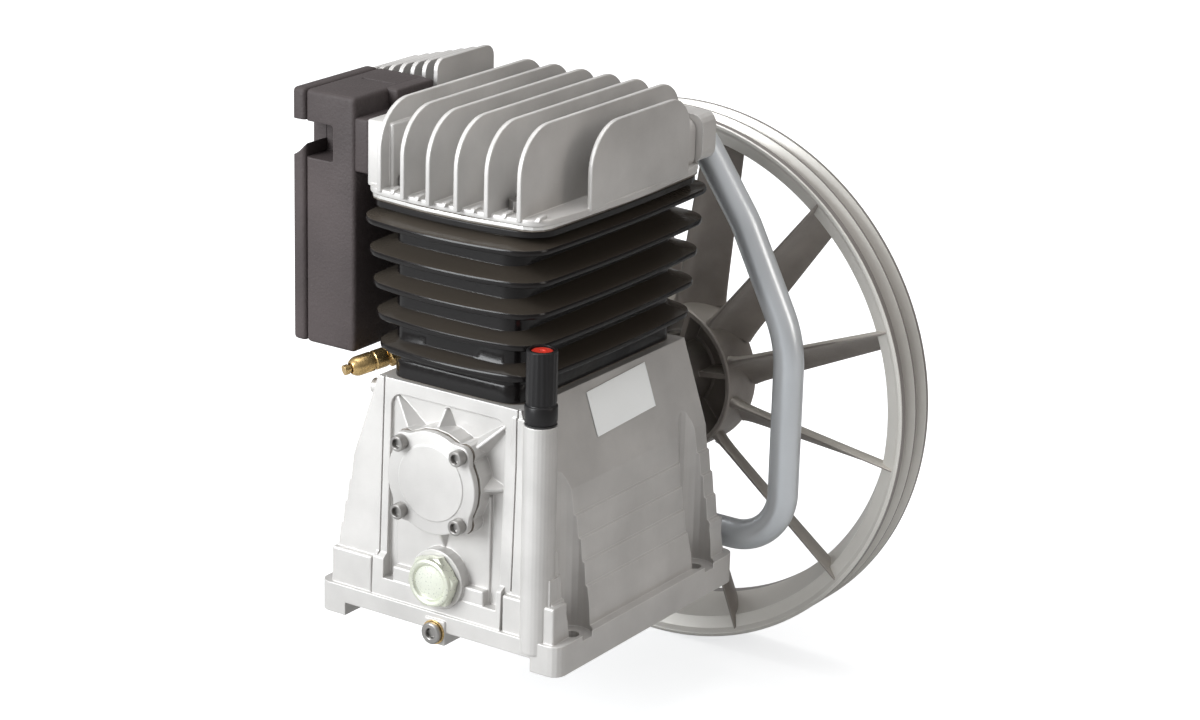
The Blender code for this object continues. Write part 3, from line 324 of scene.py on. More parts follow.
def make_finishes():
    """Every finish by its short name."""
    return {
        "cast": surface("cast_aluminium", (0.52, 0.507, 0.493), 0.46, 0.4, vary=0.1, blotch=22,
                        grain=900, grain_depth=0.00007, edge=0.0011, edge_light=0.55),
        "machined": surface("machined_aluminium", (0.72, 0.71, 0.69), 0.33, 0.7, vary=0.05,
                            grain=1500, grain_depth=0.00002, edge=0.0005),
        # painted light: the paint's up-facing faces are tinted brown, standing in for the light
        # they reflect from above
        "black": surface("gloss_black_paint", (0.006, 0.005, 0.005), 0.22, vary=0.25, grain=350,
                         grain_depth=0.00006, edge=0.0009, edge_light=0.05, coat=0.16,
                         rough_vary=0.05, specular=0.2, painted_top_light=(0.05, 0.042, 0.034)),
        # painted light: the wheel's up-facing faces are tinted pale, standing in for the light that
        # falls on them from above
        "wheel": surface("wheel_iron", (0.3, 0.272, 0.25), 0.46, 0.4, vary=0.18, blotch=30,
                         grain=800, grain_depth=0.00009, edge=0.0009, edge_light=0.6,
                         painted_top_light=(0.55, 0.52, 0.47)),
        # painted light: the next two finishes are a lit and a shaded copy of one machined iron; the
        # wheel's rim takes the lit one where it faces forward and the shaded one elsewhere
        "rim": surface("machined_iron_lit", (0.68, 0.66, 0.62), 0.4, 0.35, vary=0.06, grain=900,
                       grain_depth=0.00001, edge=0.0007, edge_light=0.9, rough_vary=0.03),
        "groove": surface("machined_iron_painted_shade", (0.27, 0.25, 0.238), 0.42, 0.4, vary=0.08, grain=900,
                          grain_depth=0.00001, edge=0.0005, edge_light=0.9, rough_vary=0.03),
        "tube": surface("satin_tube", (0.66, 0.69, 0.72), 0.33, 0.55, vary=0.04, grain=60,
                        grain_depth=0.00001, edge=0.0001, edge_light=0.0, rough_vary=0.02),
        "zinc": surface("zinc_steel", (0.68, 0.7, 0.6), 0.32, 0.7, vary=0.1, grain=900,
                        grain_depth=0.00003, edge=0.0005),
        "dark": surface("dark_steel", (0.06, 0.055, 0.055), 0.36, 0.85, vary=0.2, grain=900,
                        grain_depth=0.00004, edge=0.0004),
        "plastic": surface("grained_plastic", (0.05, 0.04, 0.04), 0.6, vary=0.2, grain=620,
                           grain_depth=0.0003, edge=0.0016, edge_light=0.3, specular=0.3),
        "cap": surface("smooth_plastic", (0.01, 0.0095, 0.01), 0.34, vary=0.15, grain=900,
                       grain_depth=0.00002, edge=0.0005, edge_light=0.08, specular=0.28),
        "screw": surface("steel_screw", (0.3, 0.29, 0.28), 0.36, 0.85, vary=0.15, grain=900,
                         grain_depth=0.00003, edge=0.0005),
        "brass": surface("turned_brass", (0.64, 0.45, 0.2), 0.27, 0.95, vary=0.12, grain=900,
                         grain_depth=0.00003, edge=0.0004),
        "red": surface("red_plastic", (0.55, 0.035, 0.02), 0.32, vary=0.1, grain=500,
                       grain_depth=0.00002, edge=0.0004, coat=0.3),
        "lens": surface("clear_lens", (0.97, 0.99, 0.94), 0.05, vary=0.01, grain=60,
                        grain_depth=0.00003, edge=0.0003, edge_light=0.0, coat=1.0,
                        rough_vary=0.01, alpha=0.22),
        "backing": surface("pale_backing", (0.8, 0.8, 0.7), 0.4, vary=0.08, blotch=120, grain=600,
                           grain_depth=0.00001, edge=0.0002),
        "label": surface("blank_label", (0.93, 0.95, 0.95), 0.35, vary=0.03, grain=500,
                         grain_depth=0.00001, edge=0.0002),
        "gasket": surface("gasket_sheet", (0.16, 0.14, 0.12), 0.85, vary=0.2, grain=500,
                          grain_depth=0.00008, edge=0.0002),
        "rubber": surface("black_rubber", (0.02, 0.02, 0.02), 0.7, vary=0.15, grain=400,
                          grain_depth=0.00004, edge=0.0003, edge_light=0.1),
        "paper": surface("filter_paper", (0.6, 0.55, 0.42), 0.9, vary=0.12, grain=500,
                         grain_depth=0.0001, edge=0.0004),
    }


# Finishes of the solids that show as they are.
NODE_FINISH = {
    "cast": ("crankcase", "delivery_manifold", "tube_flange_right", "tube_flange_left", "side_plug",
             "large_connecting_rod", "small_connecting_rod", "large_piston", "small_piston",
             "rear_bearing_housing"),
    "machined": ("valve_plate", "front_bearing", "rear_bearing", "large_gudgeon_pin",
                 "small_gudgeon_pin", "flywheel_key"),
    "dark": ("crankshaft", "housing_screw_1", "housing_screw_2", "housing_screw_3",
             "housing_screw_4", "large_piston_ring", "small_piston_ring", "flywheel_bolt"),
    "screw": ("head_bolt_1", "head_bolt_2", "head_bolt_3", "head_bolt_4", "head_bolt_5",
              "head_bolt_6"),
    "rim": ("flywheel_washer",),
    "gasket": ("front_cover_gasket", "base_gasket", "valve_plate_gasket", "head_gasket"),
    "rubber": ("oil_seal", "filler_seal"),
    "brass": ("drain_washer", "safety_valve_stem"),
    "label": ("data_label",),
    "paper": ("filter_element",),
}


def dress(obj, finish, body, *nodes, slot=None):
    """Give a piece its finish and its body, and hide the nodes it stands for."""
    obj.data.materials.clear()
    obj.data.materials.append(finish)
    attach(obj, body)
    if nodes:
        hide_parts(*nodes)


# ---- flywheel -----------------------------------------------------------
RIM_INSIDE = ((187.6, WHEEL_FRONT), (184.5, WHEEL_FRONT + 2.5), (176.5, WHEEL_FRONT + 5.0),
              (166.0, WHEEL_REAR - 8.0), (166.0, WHEEL_REAR))


def rim_profile():
    """Section of the rim: two V grooves between three lands, then the inside."""
    land_rear, groove, land_mid, depth = 3.6, 12.7, 2.6, 10.0
    chamfer, lip_high, lip_deep = 0.6, 0.3, 0.4
    taper = depth * math.tan(math.radians(GROOVE_LEAN))
    points = [(WHEEL_R - chamfer, WHEEL_REAR), (WHEEL_R, WHEEL_REAR - chamfer)]
    y = WHEEL_REAR - land_rear
    for _ in range(BELT_GROOVES):
        points += [(WHEEL_R, y + lip_high), (WHEEL_R - lip_deep, y),
                   (WHEEL_R - depth, y - taper), (WHEEL_R - depth, y - groove + taper),
                   (WHEEL_R - lip_deep, y - groove), (WHEEL_R, y - groove - lip_high)]
        y -= groove + land_mid
    points += [(WHEEL_R, WHEEL_FRONT + chamfer), (WHEEL_R - chamfer, WHEEL_FRONT)]
    return points + list(RIM_INSIDE)


def rim_inside(y):
    """Radius of the rim's inside at a place along the axis."""
    for (r0, y0), (r1, y1) in zip(RIM_INSIDE, RIM_INSIDE[1:]):
        if y <= y1:
            return r0 + (r1 - r0) * (y - y0) / (y1 - y0)
    return RIM_INSIDE[-1][0]


def blade_mesh(angle):
    """A spoke like a fan blade: along the axis in front, swept back behind."""
    out = Vector((math.cos(angle), 0.0, math.sin(angle)))
    side = Vector((-math.sin(angle), 0.0, math.cos(angle)))
    loops = []
    stations, steps = 14, 10
    for i in range(stations + 1):
        part = (i / stations) ** 1.4
        sweep = 21.0 - 7.0 * part
        thick = 3.2 + 1.4 * (1 - part) + 5.0 * math.exp(-part * 22)
        line = []
        for k in range(steps + 1):
            t = k / steps
            line.append((BLADE_FRONT + BLADE_SPAN * t,
                         -sweep * max(0.0, t - 0.12) ** 1.7 / 0.8))
        loop = []
        for edge, run in ((0.5, line), (-0.5, line[::-1])):
            for y, shift in run:
                from_end = min(y - BLADE_FRONT, BLADE_FRONT + BLADE_SPAN - y)
                ends = min(1.0, 0.35 + 2.2 * from_end / 3.2)
                radius = BLADE_ROOT + (rim_inside(y) + BLADE_SINK - BLADE_ROOT) * part
                point = out * radius + side * (shift + edge * thick * ends)
                loop.append((point.x, y, CRANK_Z + point.z))
        loops.append(loop)
    return loft_mesh(loops, cap=False)


def flywheel(finishes):
    """Rim, hub with its webs, and the spokes."""
    centre = (0.0, 0.0, CRANK_Z)
    rim = together("wheel_rim", [lathe_mesh(rim_profile(), centre, steps=180)], crease=20)
    dress(rim, finishes["rim"], "crank", slot="wheel_iron")
    rim.data.materials.append(finishes["groove"])
    for face in rim.data.polygons:  # painted light: forward faces take the lit copy, the rest the painted-shade copy
        face.material_index = 0 if face.normal.y < FRONT_FACING else 1
    hub_profile = [(55.4, 189.0), (56.0, 188.4), (55.6, 155.8), (55.0, 155.0), (52.4, 155.0),
                   (51.6, 156.0), (50.8, 182.0), (27.2, 182.0), (25.6, 180.5), (25.0, 132.0),
                   (24.0, 131.0), (15.4, 131.0), (14.4, 132.0), (14.4, 189.0)]
    meshes = [lathe_mesh(hub_profile, centre, steps=96)]
    webs, web_phase, web_half = 6, 10, 1.8
    for k in range(webs):
        angle = math.radians(360 // webs * k + web_phase)
        out = Vector((math.cos(angle), math.sin(angle)))
        across = Vector((-out.y, out.x)) * web_half
        corners = [(24.0, 164.0), (52.0, 159.0), (52.0, 183.5), (24.0, 183.5)]
        meshes.append(loft_mesh([[(out.x * s + sign * across.x, y,
                                   CRANK_Z + out.y * s + sign * across.y) for s, y in corners]
                                 for sign in (-1, 1)]))
    hub = together("wheel_hub", meshes)
    dress(hub, finishes["wheel"], "crank", slot="wheel_iron")
    blades = together("wheel_blades",
                      [blade_mesh(math.radians(BLADE_PHASE + 360 / BLADES * k))
                       for k in range(BLADES)], crease=50)
    dress(blades, finishes["wheel"], "crank", "flywheel", slot="wheel_iron")


# ---- cylinders and head -------------------------------------------------
def cylinder_block(finishes):
    """The block's outside lofted up through its fins, with the cylinders bored out.

    Each section holds what pillow takes: half sizes, swells, rear share and radius.
    """
    root = (51.0, 92.0, 1.0, 2.0, 1.0, 14.0)
    foot = (50.5, 91.0, 0.5, 1.0, 1.0, 12.0)
    levels = [(BLOCK_LOW, foot), (178.2, foot), (179.5, (50.0, 90.5, 0.5, 1.0, 1.0, 12.0)),
              (181.0, root)]
    # Height over a fin's middle, and share of the way from the root to the fin's rim.
    fin_section = ((-4.6, 0.0), (-3.4, 0.5), (-2.4, 0.9), (-1.7, 0.98), (-0.7, 1.0), (0.7, 1.0),
                   (1.6, 0.975), (2.4, 0.87), (4.6, 0.42), (6.4, 0.1), (7.4, 0.0))
    for k in range(BLOCK_FINS):
        z = BLOCK_FIN_LOW + BLOCK_FIN_STEP * k
        rim = (66.5 + 1.5 * k, 100.5 + 2.0 * k, 4.0, 9.0, FIN_REAR, 17.0)
        for step, share in fin_section:
            size = [a + (b - a) * share for a, b in zip(root, rim)]
            if z + step < BLOCK_TOP - 5.0:  # the top flange takes over from there
                levels.append((z + step, tuple(size)))
    top = (70.0, 99.0, 3.0, 7.0, 1.0, 16.0)
    levels += [(278.2, (68.0, 97.0, 3.0, 7.0, 1.0, 16.0)), (279.0, top),
               (BLOCK_TOP - 0.4, top), (BLOCK_TOP, (69.6, 98.6, 3.0, 7.0, 1.0, 16.0))]
    loops = [[(x, y, z) for x, y in pillow(*size)] for z, size in levels]
    boss = lathe_mesh([(0.0, 0.0), (6.0, 0.0), (6.6, -0.6), (6.6, -36.0), (0.0, -36.0)],
                      VALVE_SEAT, VALVE_WAY, 32)
    bores = [lathe_mesh([(0.0, BLOCK_LOW - 5.0), (radius, BLOCK_LOW - 5.0),
                         (radius, BLOCK_TOP + 5.0), (0.0, BLOCK_TOP + 5.0)],
                        (0.0, y, 0.0), (0, 0, 1), 72) for y, radius in BORES]
    block = bmesh_cut("block_casting", loft_mesh(loops), bores)
    dress(block, finishes["black"], "pump_base", "cylinder_block", slot="black_iron")
    seat = together("valve_boss", [boss])
    dress(seat, finishes["black"], "pump_base", slot="black_iron")


def fin_outline(front, rear, top):
    """Side view of one head fin, round at both upper corners."""
    points = [(rear, HEAD_FIN_FOOT), (front, HEAD_FIN_FOOT)]
    front_round, rear_round = HEAD_FIN_ROUNDS
    steps = 12
    for radius, middle, start in ((front_round, front + front_round, math.pi),
                                  (rear_round, rear - rear_round, math.pi / 2)):
        for i in range(steps + 1):
            angle = start - math.pi / 2 * i / steps
            points.append((middle + radius * math.cos(angle),
                           top - radius + radius * math.sin(angle)))
    return points


def cylinder_head(finishes):
    """Floor plate, chamber, bosses and the fins across them."""
    fin_reach, rib_reach = 103.5, 102.0
    outline = [(x, y - 1.0) for x, y in pillow(76.0, 97.5, 8.5, 5.0, 1.0, 13.0)]
    meshes = [prism_mesh(outline, "Z", (HEAD_LOW, HEAD_FLOOR), 0.9)]
    chamber = rounded(52.0, 63.0, 10.0, centre=(0.0, 1.0))
    meshes.append(prism_mesh(chamber, "Z", (HEAD_FIN_FOOT, 318.0), 5.0, 4))
    meshes.append(box_mesh((-69.4, -49.0), (-88.0, -34.0), (HEAD_FIN_FOOT, 332.0), 1.5))
    meshes.append(box_mesh((-66.0, -49.0), (8.0, 42.0), (HEAD_FIN_FOOT, 320.0), 1.5))
    for side in (-1, 1):
        meshes.append(prism_mesh(rounded(17.0, 16.5, 8.0, centre=(side * 50.0, 304.5)), "Y",
                                 (58.0, 82.0), 1.0))
    for i in range(1, HEAD_FINS + 1):
        x = FIN_PITCH * (i - HEAD_FINS / 2)
        front = -(fin_reach - HEAD_BOW * x * x)
        rear, top = 80.0, HEAD_TOP
        last = i == HEAD_FINS
        if last:  # the right wall's own fin is shorter
            x, front, rear, top = 73.2, -49.0, 62.0, HEAD_TOP - 3.5
        meshes.append(prism_mesh(fin_outline(front, rear, top), "X",
                                 (x - HEAD_FIN_HALF, x + HEAD_FIN_HALF), 0.8))
        if not last:  # a little rib on the floor, between this fin and the next
            mid = x + FIN_PITCH / 2
            edge = -(rib_reach - HEAD_BOW * mid * mid)
            meshes.append(prism_mesh([(edge, 290.0), (edge + 9.0, 290.0), (edge + 9.0, 293.4),
                                      (edge + 1.5, 292.6)], "X", (mid - 1.6, mid + 1.6), 0.5))
    head = together("head_casting", meshes, crease=35)
    dress(head, finishes["cast"], "pump_base", "cylinder_head", slot="cast_aluminium")


# ---- front of the crankcase ---------------------------------------------
def cover_outline(radius, lug):
    """A round cover with four screw lugs blended into it."""
    samples, blend = 144, 2
    reach = SCREW_AT * math.sqrt(2)
    sizes = []
    for i in range(samples):
        angle = 2 * math.pi * i / samples
        size = radius
        for k in range(4):
            off = angle - math.radians(45 + 90 * k)
            across = reach * math.sin(off)
            if abs(across) < lug and math.cos(off) > 0:
                size = max(size, reach * math.cos(off) + math.sqrt(lug * lug - across * across))
        sizes.append(size)
    points = []
    for i in range(samples):
        near = [sizes[(i + k) % samples] for k in range(-blend, blend + 1)]
        size, angle = sum(near) / len(near), 2 * math.pi * i / samples
        points.append((size * math.cos(angle), CRANK_Z + size * math.sin(angle)))
    return points


def front_cover(finishes):
    """The bearing cover with its raised disc and its four screws."""
    centre = (0.0, 0.0, CRANK_Z)
    plate_radius, lug_radius, seat = 34.2, 7.0, -106.3
    plate = prism_mesh(cover_outline(plate_radius, lug_radius), "Y", (COVER_FACE, seat), 0.7, 3)
    disc = lathe_mesh([(0.0, -108.0), (25.2, -108.0), (25.2, COVER_FACE - 0.3),
                       (24.8, COVER_FACE - 0.6), (0.0, COVER_FACE - 0.6)], centre, steps=96)
    cover = together("bearing_cover", [plate, disc], crease=30)
    dress(cover, finishes["cast"], "pump_base", "front_bearing_cover", slot="cast_aluminium")
    for k, (sx, sz) in enumerate(((-1, 1), (1, 1), (-1, -1), (1, -1)), start=1):
        socket_screw(f"cap_screw_{k}", (sx * SCREW_AT, COVER_FACE - 0.3, CRANK_Z + sz * SCREW_AT),
                     finishes, f"cover_screw_{k}")


def socket_screw(name, seat, finishes, node):
    """A cap head with a hexagon socket, facing the front."""
    head = lathe_mesh([(3.0, 0.0), (5.2, 0.0), (5.2, 5.3), (4.6, 6.0), (3.3, 6.0), (3.0, 5.6),
                       (3.0, 3.0), (2.4, 3.0), (2.4, 0.0)], seat, (0, -1, 0), 36)
    floor = lathe_mesh([(0.0, 2.2), (3.05, 2.2), (3.05, 3.0), (0.0, 3.0)], seat, (0, -1, 0), 6)
    screw = together(name, [head, floor])
    dress(screw, finishes["screw"], "pump_base", node, slot="dark_steel")


def sight_glass(finishes):
    """Hexagon ring, domed lens, and the red dot and dark wedge on a pale backing."""
    centre = (0.0, GLASS_FACE, GLASS_Z)
    toward = (0, -1, 0)
    hex_radius, hex_phase = 18.4, 11
    hexagon = []
    for k in range(6):
        angle = math.radians(60 * k + hex_phase)
        hexagon.append((hex_radius * math.cos(angle), GLASS_Z + hex_radius * math.sin(angle)))
    nut = prism_mesh(hexagon, "Y", (GLASS_FACE - 6.5, GLASS_FACE - 0.1), 0.6)
    collar = lathe_mesh([(11.4, 0.4), (16.4, 0.4), (16.4, 6.5), (15.6, 8.5), (14.2, 9.0),
                         (12.6, 8.6), (11.4, 6.8)], centre, toward, 72)
    ring = together("glass_ring", [nut, collar])
    dress(ring, finishes["zinc"], "pump_base", "sight_glass_ring", slot="bright_steel")
    lens_radius, steps = 11.8, 8
    dome = [(0.0, 10.2)]
    for i in range(1, steps + 1):
        angle = math.pi / 2 * i / steps
        dome.append((lens_radius * math.sin(angle), 6.9 + 3.3 * math.cos(angle)))
    dome += [(lens_radius, 6.2), (0.0, 6.2)]
    lens = together("glass_lens", [lathe_mesh(dome, centre, toward, 64)])
    dress(lens, finishes["lens"], "pump_base", "sight_glass_lens", slot="clear_plastic")
    dot = [(0.0, 5.6), (1.2, 5.6), (1.5, 5.3), (1.5, 4.2), (0.0, 4.2)]
    disc = together("glass_reflector", [lathe_mesh(dot, centre, toward, 40)])
    dress(disc, finishes["red"], "pump_base", "sight_glass_reflector", slot="red_plastic")
    back = together("glass_back", [
        lathe_mesh([(0.0, 3.9), (11.3, 3.9), (11.3, 3.3), (0.0, 3.3)], centre, toward, 40)])
    dress(back, finishes["backing"], "pump_base", slot="bright_steel")
    wedge = together("glass_wedge", [
        prism_mesh([(0.6, GLASS_Z), (-0.8, GLASS_Z + 7.8), (-7.4, GLASS_Z + 6.4)], "Y",
                   (GLASS_FACE - 4.5, GLASS_FACE - 4.0), 0.1)])
    dress(wedge, finishes["wheel"], "pump_base", slot="bright_steel")


def drain_plug(finishes):
    """A low round head with a hexagon socket."""
    centre, toward = (0.0, -107.6, 8.4), (0, -1, 0)
    head = lathe_mesh([(3.5, 0.0), (7.0, 0.0), (7.2, 0.4), (7.2, 2.4), (6.3, 3.2), (4.0, 3.2),
                       (3.5, 2.8), (3.5, 0.6)], centre, toward, 40)
    floor = lathe_mesh([(0.0, 0.0), (3.6, 0.0), (3.6, 0.7), (0.0, 0.7)], centre, toward, 6)
    plug = together("drain_screw", [head, floor])
    dress(plug, finishes["screw"], "pump_base", "drain_plug", slot="dark_steel")


def filler_cap(finishes):
    """The fluted cap with its stem, and the red insert in its top."""
    centre = (PIPE_X, PIPE_Y, 0.0)
    low, high = PIPE_TOP + 1.7, 212.0
    flute_count, flute_depth = 18, 0.35

    def flutes(radius, height, angle):
        """Shallow grip flutes round the cap's upper body."""
        if radius > 9.4 and low + 14.0 < height < high - 1.0:
            return radius - flute_depth * (0.5 + 0.5 * math.cos(flute_count * angle))
        return radius

    profile = [(7.7, high), (9.0, high), (9.7, high - 0.7), (9.9, high - 1.6),
               (9.9, low + 14.2), (9.6, low + 13.2), (9.3, low + 12.4), (9.5, low + 11.8),
               (10.2, low + 11.4), (10.5, low + 10.8), (10.5, low + 1.2), (10.1, low + 0.2),
               (9.6, low), (6.4, low), (6.4, 150.0), (4.0, 150.0), (4.0, high - 3.4),
               (7.4, high - 3.4), (7.7, high - 3.0)]
    cap = together("breather_cap", [lathe_mesh(profile, centre, (0, 0, 1), 144, flutes)], crease=28)
    dress(cap, finishes["cap"], "filler_cap", "filler_cap", slot="black_plastic")
    disc = [(0.0, high - 1.9), (1.6, high - 1.7), (2.2, high - 1.0), (6.3, high - 1.0),
            (7.2, high - 1.6), (7.2, high - 3.2), (0.0, high - 3.2)]
    insert = together("cap_insert", [lathe_mesh(disc[::-1], centre, (0, 0, 1), 48)])
    dress(insert, finishes["red"], "filler_cap", "filler_cap_insert", slot="red_plastic")


# ---- pipework, filter and valve -----------------------------------------
def bent_route(corners, radii):
    """Points along straight runs whose corners are rounded by arcs."""
    points = [Vector(corners[0])]
    for before, here, after, radius in zip(corners, corners[1:], corners[2:], radii):
        before, here, after = Vector(before), Vector(here), Vector(after)
        back, ahead = (before - here).normalized(), (after - here).normalized()
        half = back.angle(ahead) / 2
        trim = radius / math.tan(half)
        centre = here + (back + ahead).normalized() * radius / math.sin(half)
        start, end = here + back * trim, here + ahead * trim
        turn = math.pi - 2 * half
        count = max(6, math.ceil(math.degrees(turn) / 3))  # a step is about three degrees
        spoke = start - centre
        axis = spoke.cross(end - centre).normalized()
        for i in range(count + 1):
            points.append(centre + Matrix.Rotation(turn * i / count, 3, axis) @ spoke)
    points.append(Vector(corners[-1]))
    return points


def intercooler_tube(finishes):
    """One tube from the right port down behind the crankcase and up to the left port."""
    right = [(PORT_X, PORT_Y, PORT_Z), (PORT_X, TUBE_Y, PORT_Z), (84.0, TUBE_Y, 246.0),
             (121.8, TUBE_Y, 171.0), (121.8, TUBE_Y, 26.0)]
    radii = [17.0, 90.0, 80.0, 38.0]
    route = bent_route(right + [(-x, y, z) for x, y, z in reversed(right)], radii + radii[::-1])
    tangents = [(b - a).normalized() for a, b in zip(route, route[1:])]
    tangents = [tangents[0]] + [(a + b).normalized() for a, b in zip(tangents, tangents[1:])] + [
        tangents[-1]]
    sides = 40
    across = Vector((0, 0, 1))
    loops = []
    for place, ahead in zip(route, tangents):
        across = (across - ahead * across.dot(ahead)).normalized()
        other = ahead.cross(across)
        loops.append([place + (across * math.cos(2 * math.pi * k / sides) +
                               other * math.sin(2 * math.pi * k / sides)) * TUBE_R
                      for k in range(sides)])
    tube = together("bent_tube", [loft_mesh(loops)], crease=50)
    dress(tube, finishes["tube"], "pump_base", "intercooler_tube", slot="bright_steel")


def air_filter(finishes):
    """A closed base and the outer cover that pulls off it, each with its slots."""
    (x0, x1), (y0, y1), (z0, z1) = FILTER_X, FILTER_Y, FILTER_Z
    split = x0 + 10.5
    lip = 3.0
    base = bmesh_cut("filter_case", box_mesh((split + 0.4, x1), (y0, y1), (z0, z1), lip, 4), [
        box_mesh((split - 5, -96.7), (y0 - 5, y0 + 22), (z1 - 44.5, z1 - 20.5), 2.0),
        box_mesh((-109.0, -84.0), (-43.5, -41.5), (z1 - 2.2, z1 + 5), 0.2)])
    dress(base, finishes["plastic"], "pump_base", "air_filter_base", slot="black_plastic")
    sides = together("filter_sides", [
        box_mesh((x1 - 2.0, -69.7), (y0 + 1.5, -36.0), (295.5, 330.5), 1.5),
        box_mesh((x1 - 4.0, -72.5), (-53.0, y1 - 3.0), (332.6, z1 - 0.1), 1.5),
        box_mesh((-85.5, -81.5), (-45.0, -40.0), (z1 - 2.0, z1 - 0.1), 0.8)])
    dress(sides, finishes["plastic"], "pump_base", slot="black_plastic")
    scoop = [(x0 - 15, z1 - 46.0), (x0 - 15, z1 - 20.5)]
    scoop += [(x0 - 7 + 20.4 * math.cos(a), z1 - 25.6 + 20.4 * math.sin(a))
              for a in (math.radians(14.5 - 3.0 * k) for k in range(36))]
    cover = bmesh_cut("filter_lid", box_mesh((x0, split), (y0, y1), (z0, z1), lip, 4),
                      [prism_mesh(scoop, "Y", (y0 - 5, y0 + 22))])
    dress(cover, finishes["plastic"], "filter_cover", "air_filter_cover", slot="black_plastic")


def bmesh_cut(name, body, cutters):
    """An object of one mesh with the others cut out of it."""
    obj = together(name, [body])
    tools = []
    for k, bm in enumerate(cutters):
        tool = together(f"{name}_tool_{k}", [bm])
        mod = obj.modifiers.new("Cut", "BOOLEAN")
        mod.operation = "DIFFERENCE"
        mod.object = tool
        tools.append(tool)
    bpy.context.view_layer.update()
    shape = obj.evaluated_get(bpy.context.evaluated_depsgraph_get())
    mesh = bpy.data.meshes.new_from_object(shape)
    obj.modifiers.clear()
    obj.data = mesh
    mesh.shade_smooth()
    mesh.set_sharp_from_angle(angle=math.radians(CUT_CREASE))
    for tool in tools:
        bpy.data.objects.remove(tool, do_unlink=True)
    return obj


def safety_valve(finishes):
    """Hexagon foot and grooved barrel of the valve."""
    hexagon = lathe_mesh([(0.0, 0.3), (7.4, 0.3), (7.6, 0.8), (7.6, 8.6), (7.2, 9.2), (0.0, 9.2)],
                         VALVE_SEAT, VALVE_WAY, 6)
    barrel = lathe_mesh([(0.0, 9.0), (5.4, 9.0), (5.4, 10.4), (6.3, 11.0), (6.5, 12.0),
                         (6.5, 19.0), (5.9, 19.5), (5.9, 20.5), (6.5, 21.0), (6.5, 31.6),
                         (5.9, 33.6), (4.6, 35.6), (3.7, 36.0), (3.7, 33.0), (0.0, 33.0)],
                        VALVE_SEAT, VALVE_WAY, 48)
    valve = together("relief_valve", [hexagon, barrel], crease=30)
    dress(valve, finishes["brass"], "pump_base", "safety_valve", slot="brass")


# ---- stage, light and camera --------------------------------------------
def matte(name):
    """Studio white: its own glow grows from the object outward, for the camera only."""
    mat, tree, shader = new_material(name)
    nodes, links = tree.nodes, tree.links
    for value, socket in (((*FLOOR_GREY, 1.0), "Base Color"), (FLOOR_ROUGHNESS, "Roughness"),
                          (0.0, "Specular IOR Level"), ((*FLOOR_GLOW, 1.0), "Emission Color")):
        input_of(shader, value, socket)
    away = nodes.new("ShaderNodeVectorMath")
    away.operation = "LENGTH"
    links.new(nodes.new("ShaderNodeTexCoord").outputs["Object"], away.inputs[0])
    seen = nodes.new("ShaderNodeMath")
    seen.operation = "MULTIPLY"
    glow = remap(tree, away.outputs["Value"], GLOW_SPAN, GLOW_NEAR, GLOW_FAR)
    links.new(glow, seen.inputs[0])
    links.new(nodes.new("ShaderNodeLightPath").outputs["Is Camera Ray"], seen.inputs[1])
    links.new(seen.outputs[0], shader.inputs["Emission Strength"])
    return mat


def stage():
    """A pale floor just under the wheel."""
    half, depth = 6000, 20
    floor = together("floor", [box_mesh((-half, half), (-half, half),
                                        (FLOOR_TOP - depth, FLOOR_TOP), 0)])
    floor.data.materials.append(matte("floor_white"))


def area_light(name, place, size, power, colour):
    """A rectangular lamp that aims at the object."""
    data = bpy.data.lights.new(name, "AREA")
    data.shape = "RECTANGLE"
    data.size, data.size_y = size
    data.energy = power
    data.color = colour
    light = bpy.data.objects.new(name, data)
    light.location = place
    way = Vector(LIGHT_TARGET) - Vector(place)
    light.rotation_euler = way.to_track_quat("-Z", "Y").to_euler()
    bpy.context.scene.collection.objects.link(light)


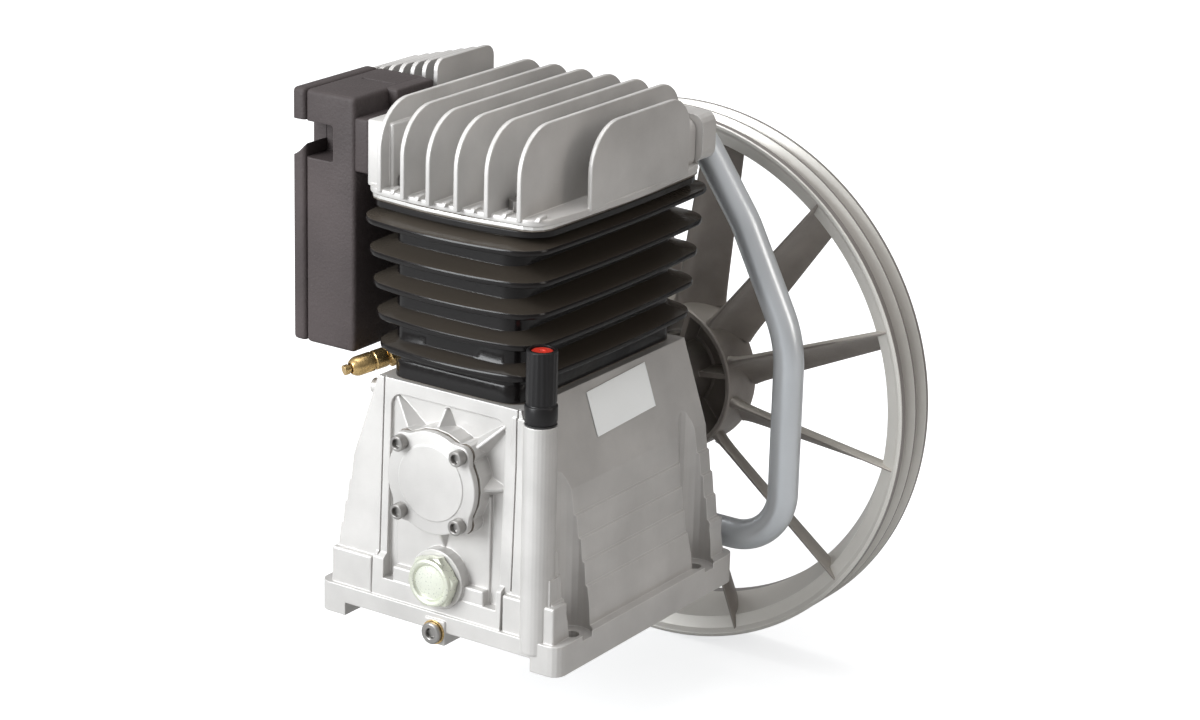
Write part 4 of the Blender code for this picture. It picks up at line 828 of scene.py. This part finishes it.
def lights():
    """The lamps, and a soft sky that the camera itself sees as plain white."""
    for lamp in LAMPS:
        area_light(*lamp)
    world = bpy.data.worlds.new("studio")
    bpy.context.scene.world = world
    world.use_nodes = True
    tree = world.node_tree
    nodes, links = tree.nodes, tree.links
    toward = nodes.new("ShaderNodeVectorMath")
    toward.operation = "DOT_PRODUCT"
    input_of(toward, SKY_WAY, 1)
    links.new(nodes.new("ShaderNodeTexCoord").outputs["Generated"], toward.inputs[0])
    spread = remap(tree, toward.outputs["Value"], (-1.0, 1.0))
    shell = nodes["Background"]
    input_of(shell, SKY_STRENGTH, "Strength")
    links.new(ramp(tree, spread, SKY_DARK, SKY_LIGHT), shell.inputs["Color"])
    white = nodes.new("ShaderNodeBackground")
    input_of(white, (*WHITE, 1.0), "Color")
    mix = nodes.new("ShaderNodeMixShader")
    links.new(nodes.new("ShaderNodeLightPath").outputs["Is Camera Ray"], mix.inputs["Fac"])
    links.new(shell.outputs["Background"], mix.inputs[1])
    links.new(white.outputs["Background"], mix.inputs[2])
    links.new(mix.outputs["Shader"], nodes["World Output"].inputs["Surface"])


def camera():
    """A camera turned by azimuth and elevation, then rolled about its own axis."""
    azimuth, elevation, roll = (math.radians(turn) for turn in CAMERA_TURN)
    back = Vector((math.sin(azimuth) * math.cos(elevation),
                   -math.cos(azimuth) * math.cos(elevation), math.sin(elevation)))
    level = Vector((math.cos(azimuth), math.sin(azimuth), 0.0))
    upward = back.cross(level)
    right = level * math.cos(roll) + upward * math.sin(roll)
    up = upward * math.cos(roll) - level * math.sin(roll)
    data = bpy.data.cameras.new("camera")
    data.lens, data.sensor_width = CAMERA_LENS, CAMERA_SENSOR
    data.clip_end = CAMERA_REACH
    obj = bpy.data.objects.new("camera", data)
    turned = Matrix((right, up, back)).transposed().to_4x4()
    obj.matrix_world = Matrix.Translation(CAMERA_PLACE) @ turned
    bpy.context.scene.collection.objects.link(obj)
    bpy.context.scene.camera = obj


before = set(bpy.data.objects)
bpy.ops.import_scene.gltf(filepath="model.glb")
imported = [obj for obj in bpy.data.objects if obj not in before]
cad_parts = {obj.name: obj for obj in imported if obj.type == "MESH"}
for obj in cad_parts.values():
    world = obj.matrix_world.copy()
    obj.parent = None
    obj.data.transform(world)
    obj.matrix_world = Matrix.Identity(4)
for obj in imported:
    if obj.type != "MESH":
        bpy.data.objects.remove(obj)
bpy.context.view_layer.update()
finishes = make_finishes()
for finish_name, nodes_of in NODE_FINISH.items():
    for node in nodes_of:
        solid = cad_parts[node]
        solid.data.materials.clear()
        solid.data.materials.append(finishes[finish_name])

flywheel(finishes)
cylinder_block(finishes)
cylinder_head(finishes)
front_cover(finishes)
sight_glass(finishes)
drain_plug(finishes)
filler_cap(finishes)
intercooler_tube(finishes)
air_filter(finishes)
safety_valve(finishes)
stage()
lights()
camera()

bpy.context.scene.view_settings.view_transform = "Standard"
